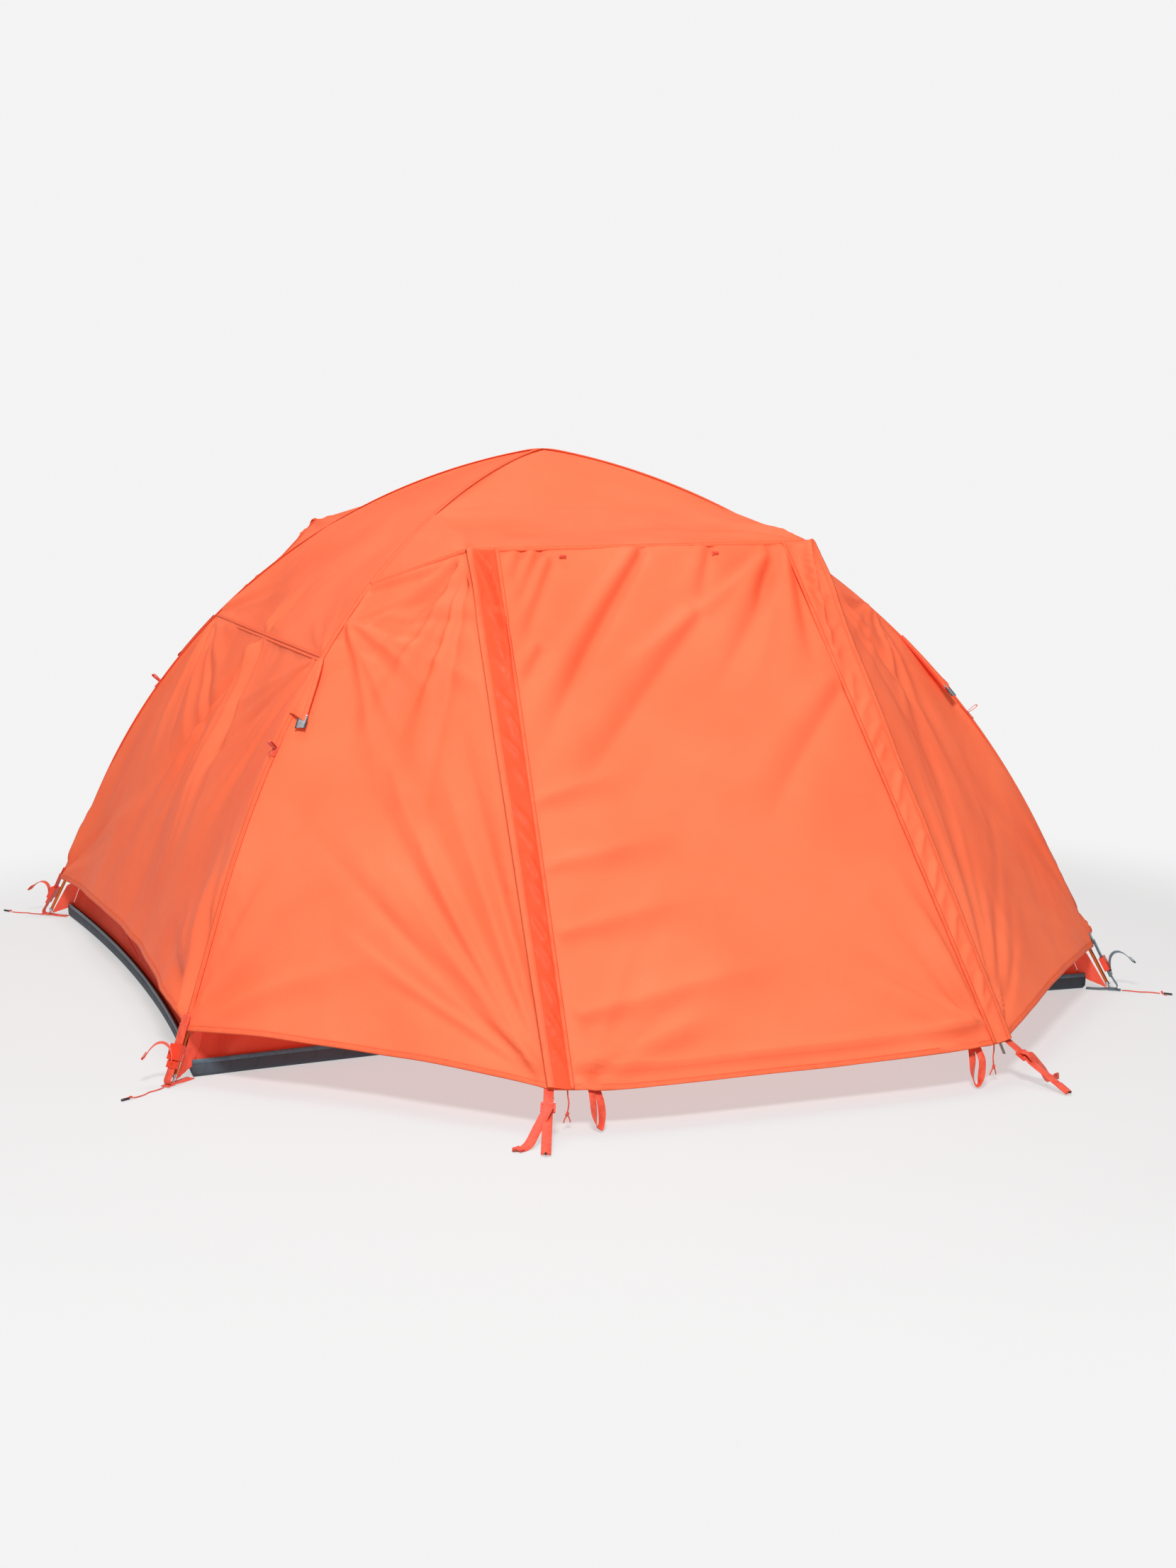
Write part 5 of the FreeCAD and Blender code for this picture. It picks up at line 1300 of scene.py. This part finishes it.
def porch_straps():
    """Adjustable straps from the porch corners to their stakes, with their loose tails."""
    corner, ground = np.array([0.518, 1.478, 0.082]), np.array([0.577, 1.625, 0.0022])
    run = unit(ground - corner)
    across = unit(np.cross(run, [0.3, 0.9, 0.4]))
    normal = np.cross(across, run)
    if normal[2] < 0:
        normal = -normal
    length = float(np.linalg.norm(ground - corner))
    lock = corner + run * 0.044 - normal * 0.002
    tails = {
        "front_left": [(-0.566, 1.548, 0.034), (-0.588, 1.563, 0.010), (-0.604, 1.571, 0.0032),
                       (-0.618, 1.578, 0.0026)],
        "front_right": [(0.566, 1.530, 0.034), (0.584, 1.524, 0.012), (0.600, 1.517, 0.0032),
                        (0.614, 1.511, 0.0026)],
    }
    for name, sx, sy in CORNERS:
        key = "front_left" if sx < 0 else "front_right"
        wide = flip(across, sx, sy)
        upper = [corner - run * 0.022 + normal * 0.001, corner, corner + run * 0.020,
                 corner + run * 0.0345 - normal * 0.001,
                 corner + run * 0.0375 - normal * 0.0045]
        obj = strap(f"porch_strap_top_{name}", flip(upper, sx, sy), UP, 0.020, "tent", "webbing", WEB_RED,
                    0.0017, 30, wide=wide)
        if name == "front_left":
            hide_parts("porch_straps")
        lower = [lock + run * 0.0050 + normal * 0.0055, lock + run * 0.0115 + normal * 0.0030,
                 lock + run * 0.024 - normal * 0.0005,
                 corner + run * 0.110 - normal * 0.001, corner + run * (length - 0.020),
                 corner + run * (length - 0.003) + [0, 0, 0.0006]]
        strap(f"porch_strap_{name}", flip(lower, sx, sy), UP, 0.020, "tent", "webbing", WEB_RED, 0.0018,
              60, wide=wide)
        stitched = [corner + run * (length - 0.034) + normal * 0.0016,
                    corner + run * (length - 0.020) + normal * 0.0018,
                    corner + run * (length - 0.004) + normal * 0.0018]
        strap(f"strap_fold_{name}", flip(stitched, sx, sy), UP, 0.0195, "tent", "webbing", WEB_RED,
              0.0018, 14, wide=wide)
        tip = lathe(f"strap_tip_{name}", flip(corner + run * (length - 0.0045) + [0, 0, 0.0026], sx, sy),
                    flip([run[0], run[1], 0], sx, sy),
                    [(0.0, 0.0016), (0.001, 0.0023), (0.0060, 0.0023), (0.0072, 0.0012)], BLACK)
        settle(tip, "tent", "cord_end")
        tail = [lock - run * 0.0060 + normal * 0.0060, lock + run * 0.0020 + normal * 0.0088,
                lock + run * 0.0130 + normal * 0.0125]
        tail = flip(tail, sx, sy).tolist() + [[x, y * sy, z] for x, y, z in tails[key]]
        strap(f"strap_tail_{name}", tail, UP, 0.0190, "tent", "webbing", WEB_RED, 0.0016, 60, wide=wide)
        end = np.array(tail[-1])
        back = unit(np.array(tail[-2]) - end)
        fold = [end + [0, 0, 0.0002], end - back * 0.002 + [0, 0, 0.0018], end + [0, 0, 0.0034],
                end + back * 0.012 + [0, 0, 0.0038]]
        strap(f"tail_tip_{name}", fold, UP, 0.0190, "tent", "webbing", WEB_RED, 0.0016, 16, wide=wide)


def door_loops():
    """Folded webbing loops at the foot of each door's side edges."""
    for side, sy in SIDES:
        body = f"porch_door_{side}"
        for k, sx in enumerate((-1, 1)):
            base = door_point(1.0, 0.84)
            x, y = float(base[0]), float(base[1])
            line = [(x, y - 0.050, 0.112), (x, y - 0.018, 0.086), (x + 0.003, y + 0.004, 0.060),
                    (x + 0.001, y + 0.008, 0.032),
                    (x - 0.004, y + 0.010, 0.012), (x - 0.009, y + 0.009, 0.0046),
                    (x - 0.014, y + 0.005, 0.012),
                    (x - 0.017, y + 0.001, 0.034), (x - 0.015, y - 0.004, 0.060),
                    (x - 0.011, y - 0.021, 0.086), (x - 0.010, y - 0.052, 0.112)]
            path = curve_through(flip(line, sx, sy), 80)
            t = ramp(80)
            turn = 0.35 + 1.5 * smooth((t - 0.30) / 0.25) + 1.3 * smooth((t - 0.55) / 0.2)
            wide = np.stack([np.cos(turn) * sx, 0.55 * np.sin(turn) * sy, 0.25 * np.sin(2 * turn)], -1)
            obj = settle(band(f"door_loop_{side}_{k}", path, UP, 0.0150, 0.0016, WEB_RED, wide=wide),
                         body, "webbing")
            if k == 0:
                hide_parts(f"door_loops_{side}")


def guy_points():
    """Flaps, reflective tabs and webbing loops where guy lines tie to the ridges."""
    rows, columns = 22, 10
    reach = np.linspace(0.922, 1.030, rows)
    ridge = RIDGE.line(reach)
    share = (reach - GUSSET_REACH) / (HEM_REACH - GUSSET_REACH)
    far = BROW + (PORCH - BROW) * share[:, None]
    over = unit(far - ridge)
    down = unit(np.gradient(ridge, axis=0))
    normal = unit(np.cross(over, down))
    normal = normal * np.sign((normal * np.array([0.4, 0.4, 0.5])).sum(-1, keepdims=True))
    u, t = ramp(rows)[:, None], ramp(columns)[None, :]
    width = 0.008 + 0.042 * u**0.85
    lift = 0.0040 + 0.010 * t * u + 0.006 * np.sin(np.pi * t) * u
    grid = (ridge[:, None] + over[:, None] * (t * width)[..., None] + normal[:, None] * lift[..., None]
            + down[:, None] * (0.018 * t * u**2)[..., None])
    grid[:, 0] += normal * 0.001 - over * 0.004
    base = grid[-1, -4:].mean(0)
    out, along = normal[-1], unit(grid[-1, -1] - grid[-3, -1])
    side = unit(np.cross(out, along))
    for k, (name, sx, sy) in enumerate(CORNERS):
        body = f"guy_flap_{name}"
        flap = Cloth([flip(grid, sx, sy)])
        f = Folds(flap.grids[0], 55 + k)
        f.crinkle(0.0016, 0.022, 2.4, 80)
        flap.raise_by([f.hold(["u0", "v0"], 0.015)])
        obj = flap.build(f"guy_flap_cloth_{name}", FLY)
        settle(obj, body, "fly", body)
        declare(obj, flap)
        edges(flap, f"guy_{name}", body, ("v1", "u1"))
        # A thin deeper red strip of inner cloth under the flap's free edge: painted shade where the flap
        # stands off the fly.
        shade = flip(grid[:, -1] - normal * 0.0022 - over * 0.001, sx, sy)
        painted_shade_strip = band(f"guy_painted_shade_{name}", shade, flip(over[0], sx, sy), 0.006, 0.0012, INNER_CLOTH)
        settle(painted_shade_strip, body, "inner_fabric")
        line = [base - along * 0.014, base + along * 0.004, base + along * 0.020]
        strap(f"guy_tab_{name}", flip(line, sx, sy), UP, 0.0200, body, "fly", REFLECT, 0.0014, 14,
              wide=flip(side, sx, sy))
        for q, slip in enumerate((-0.0105, 0.0105)):
            rim = [p + side * slip for p in (base - along * 0.006, base + along * 0.008,
                                             base + along * 0.0215)]
            strap(f"guy_rim_{name}_{q}", flip(rim, sx, sy), UP, 0.0034, body, "fly", TAB_EDGE, 0.0022, 12,
                  wide=flip(side, sx, sy))
        angle = math.acos((1.088 + RIDGE.back) / RIDGE.side)
        d, n = np.array([math.cos(angle), 0, math.sin(angle)]), np.array([-math.sin(angle), 0,
                                                                          math.cos(angle)])
        foot = np.array([1.088, 0, float(RIDGE.height(1.088))])
        loop = [foot + d * a + n * b for a, b in ((0.0015, 0.0016), (0.010, 0.0024), (0.022, 0.0030),
                                                  (0.0285, 0.0022),
                                                  (0.0300, 0.0), (0.0285, -0.0022), (0.022, -0.0030),
                                                  (0.010, -0.0024), (0.0015, -0.0016))]
        obj = strap(f"guy_loop_{name}", turned(loop, sx, sy), UP, 0.010, "tent", "webbing", WEB_RED,
                    0.0013, 56,
                    wide=turned([0.0, 1.0, 0.0], sx, sy))
        if k == 0:
            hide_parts("guy_loops")
        patch_line = [foot + np.array([a, 0, 0.0022 - a * 1.05]) for a in (-0.016, 0.0, 0.016)]
        strap(f"guy_patch_{name}", turned(patch_line, sx, sy), UP, 0.016, "tent", "webbing", WEB_RED,
              0.0014, 8,
              wide=turned([0.0, 1.0, 0.0], sx, sy))


def small_parts():
    """Zip tapes and pulls, the ridge's extra reflective tab and the ties under the end hems."""
    run = unit(PORCH - BROW)
    face = np.array([0.42, 0.70, 0.62])
    face = unit(face - run * (face * run).sum())
    start, end = BROW + run * 0.006 - face * 0.0096, PORCH - run * 0.004 - face * 0.0096
    for k, (name, sx, sy) in enumerate(CORNERS):
        side = name.split("_")[0]
        line = flip(between(start, end, 60), sx, sy)
        obj = settle(band(f"zip_tape_{name}", line, flip(face, sx, sy), 0.018, 0.0012, ZIP), "tent", "zip")
        if k % 2 == 0:
            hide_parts(f"zip_tapes_{side}")
        teeth = band(f"zip_teeth_{name}", line - flip(face, sx, sy) * 0.0012, flip(face, sx, sy), 0.0044,
                     0.0016, TAB_EDGE)
        settle(teeth, "tent", "zip")
        top = PORCH + np.array([-0.036, 0.004, 0.004])
        drop = [top, top + [0.001, 0.002, -0.018], top + [-0.003, 0.003, -0.036],
                top + [0.001, 0.001, -0.053]]
        drop = [p.tolist() for p in flip(drop, sx, sy)]
        end_point = np.array(drop[-1])
        lump = knot(f"pull_knot_{name}", end_point + [0, 0, -0.0034], 0.0052, 0.0017, CORD_RED, 0.4 * k)
        tails = []
        for q, lean in enumerate((-1, 1)):
            wisp = [end_point + [0.001 * lean, 0, -0.006], end_point + [0.005 * lean, 0.001, -0.013],
                    end_point + [0.007 * lean, 0.002, -0.021]]
            tails.append(band(f"pull_wisp_{name}_{q}", curve_through(wisp, 12), [0, 1, 0.1], 0.0028,
                              0.0028, CORD_RED,
                              [(0.0014 * math.cos(a), 0.0014 * math.sin(a)) for a in np.linspace(0, 5.5,
                                                                                                 8)]))
        for piece in [lump] + tails:
            settle(piece, f"zip_slider_{name}", "cord")
        free_cord(f"pull_cord_{name}", drop, f"zip_slider_{name}", 0.0030, CORD_RED)
    reach = 0.572
    place = flip(RIDGE.line(reach), 1, -1)
    slope = flip(unit(RIDGE.line(reach + 0.01) - RIDGE.line(reach - 0.01)), 1, -1)
    out = np.array([0.45, -0.35, 0.82])
    line = [place - slope * 0.012 + out * 0.002, place + out * 0.0030, place + slope * 0.012 + out * 0.002]
    wide = unit(np.cross(slope, out))
    strap("ridge_tab", line, UP, 0.022, "tent", "fly", REFLECT, 0.0016, 12, wide=wide)
    strap("ridge_tab_edge", [p + out * 0.0006 for p in line], UP, 0.0246, "tent", "fly", TAB_EDGE, 0.0008,
          12, wide=wide)
    for name, sx in (("left", -1), ("right", 1)):
        tie = [(1.083, 0.004, 0.160), (1.086, 0.0, 0.138), (1.078, -0.002, 0.112), (1.066, -0.004, 0.088),
               (1.058, -0.003, 0.070)]
        strap(f"end_tie_{name}", flip(tie, sx, 1), UP, 0.010, "tent", "webbing", WEB_RED, 0.0014, 30,
              wide=[0.15, 1.0, 0.1])


roof_cap()
end_walls()
porch_sides()
doors()
seams()
floor()
inner_walls()
corner_webbing()
porch_straps()
door_loops()
guy_points()
small_parts()

# ---------------------------------------------------------------- CAD nodes that stay in view

KEPT = {
    "main_pole_upper": POLE, "main_pole_lower": POLE, "brow_pole_front": POLE, "brow_pole_rear": POLE,
    "pole_ferrules": BARE, "pole_tips": BARE, "shock_cord_upper": ELASTIC, "shock_cord_lower": ELASTIC,
    "crossing_hub": BLACK, "brow_pole_clips": BLACK, "inner_clips": BLACK, "buckle_sockets": BUCKLE_RED,
    "ladder_locks": BUCKLE_RED, "corner_eyelets": BARE, "zip_tapes_front": ZIP, "zip_tapes_rear": ZIP,
    "brow_toggles_front": WEB_RED, "brow_toggles_rear": WEB_RED,
}
for label, obj in NODES.items():
    chosen = KEPT.get(label)
    if label.startswith("zip_slider"):
        chosen = BARE
    if label.startswith("buckle_plug"):
        chosen = BUCKLE_GREY if "right" in label else BUCKLE_RED
    if chosen is None:
        chosen = WEB_RED
    obj.data.materials.clear()
    obj.data.materials.append(chosen)

# ---------------------------------------------------------------- stage


FADE_FROM, FADE_TO = 1.75, 2.60  # the floor is solid nearer than the first and clear past the second
FADE_CENTRE = (0.0, -0.45, 0.0)
BACKDROP = 0.90  # the plain grey behind the tent
LIGHTS = (  # name, place, what it points at, width of its disk, watts
    ("key", (-1.9, -4.9, 5.2), (0, -0.4, 0.4), 1.3, 415),
    ("top", (-0.7, 1.3, 5.9), (0, 0, 0.4), 3.6, 150),
)
CAMERA_PLACE = (-2.0507, -5.7493, 1.4300)
CAMERA_DIP, CAMERA_TURN = 9.208, 20.714  # degrees below the horizon, and from +Y towards +X
SENSOR, LENS = 36.0, 54.86  # mm


def stage():
    """A pale floor that fades into a pale background, two soft lights and the camera."""
    mat, tree, shader, out = material("studio_floor")
    noise = node(tree, "ShaderNodeTexNoise", Scale=2.0, Detail=2.0)
    tree.links.new(ramp_node(tree, noise.outputs["Fac"],
                             [(0.3, (0.235, 0.235, 0.235)), (0.7, (0.245, 0.245, 0.245))]),
                             shader.inputs["Base Color"])
    shader.inputs["Roughness"].default_value = 0.8
    shader.inputs["Specular IOR Level"].default_value = 0.1
    shader.inputs["Emission Color"].default_value = (1, 1, 1, 1)
    shader.inputs["Emission Strength"].default_value = 0.54
    place = tree.nodes.new("ShaderNodeTexCoord")
    far = node(tree, "ShaderNodeVectorMath", operation="DISTANCE")
    tree.links.new(place.outputs["Object"], far.inputs[0])
    far.inputs[1].default_value = FADE_CENTRE
    fade = node(tree, "ShaderNodeMapRange")
    for key, value in (("From Min", FADE_FROM), ("From Max", FADE_TO), ("To Min", 0.0), ("To Max", 1.0)):
        fade.inputs[key].default_value = value
    fade.interpolation_type = "SMOOTHSTEP"
    tree.links.new(far.outputs["Value"], fade.inputs["Value"])
    clear = tree.nodes.new("ShaderNodeBsdfTransparent")
    mixed = tree.nodes.new("ShaderNodeMixShader")
    tree.links.new(fade.outputs[0], mixed.inputs[0])
    tree.links.new(shader.outputs[0], mixed.inputs[1])
    tree.links.new(clear.outputs[0], mixed.inputs[2])
    tree.links.new(mixed.outputs[0], out.inputs[0])
    size, below = 4.0, -0.0005
    corners = [(x, y, below) for x, y in ((-size, -size), (size, -size), (size, size), (-size, size))]
    new_mesh("studio_floor", corners, [(0, 1, 2, 3)], [(0, 0), (1, 0), (1, 1), (0, 1)], mat)
    world = bpy.data.worlds.new("studio")
    bpy.context.scene.world = world
    world.use_nodes = True
    tree = world.node_tree
    back = tree.nodes["Background"]
    place = tree.nodes.new("ShaderNodeTexCoord")
    split = tree.nodes.new("ShaderNodeSeparateXYZ")
    tree.links.new(place.outputs["Generated"], split.inputs[0])
    glow = ramp_node(tree, maths(tree, "ADD", split.outputs["Z"], 0.5),
                     [(0.42, (0.82,) * 3), (0.66, (0.24,) * 3)])
    ray = tree.nodes.new("ShaderNodeLightPath")
    blend = node(tree, "ShaderNodeMix", data_type="RGBA")
    tree.links.new(ray.outputs["Is Camera Ray"], blend.inputs["Factor"])
    tree.links.new(glow, blend.inputs[6])
    blend.inputs[7].default_value = (BACKDROP, BACKDROP, BACKDROP, 1)
    tree.links.new(blend.outputs[2], back.inputs[0])
    bpy.context.scene.view_settings.view_transform = "Standard"
    for name, place, aim, size, power in LIGHTS:
        light = bpy.data.lights.new(name, "AREA")
        light.shape = "DISK"
        light.size = size
        light.energy = power
        obj = bpy.data.objects.new(name, light)
        obj.location = place
        obj.rotation_euler = (Vector(aim) - Vector(place)).to_track_quat("-Z", "Y").to_euler()
        bpy.context.scene.collection.objects.link(obj)
    camera = bpy.data.cameras.new("camera")
    camera.sensor_fit = "VERTICAL"
    camera.sensor_height = camera.sensor_width = SENSOR
    camera.lens = LENS
    obj = bpy.data.objects.new("camera", camera)
    obj.location = CAMERA_PLACE
    obj.rotation_euler = (math.radians(90 - CAMERA_DIP), 0, -math.radians(CAMERA_TURN))
    bpy.context.scene.collection.objects.link(obj)
    bpy.context.scene.camera = obj


stage()
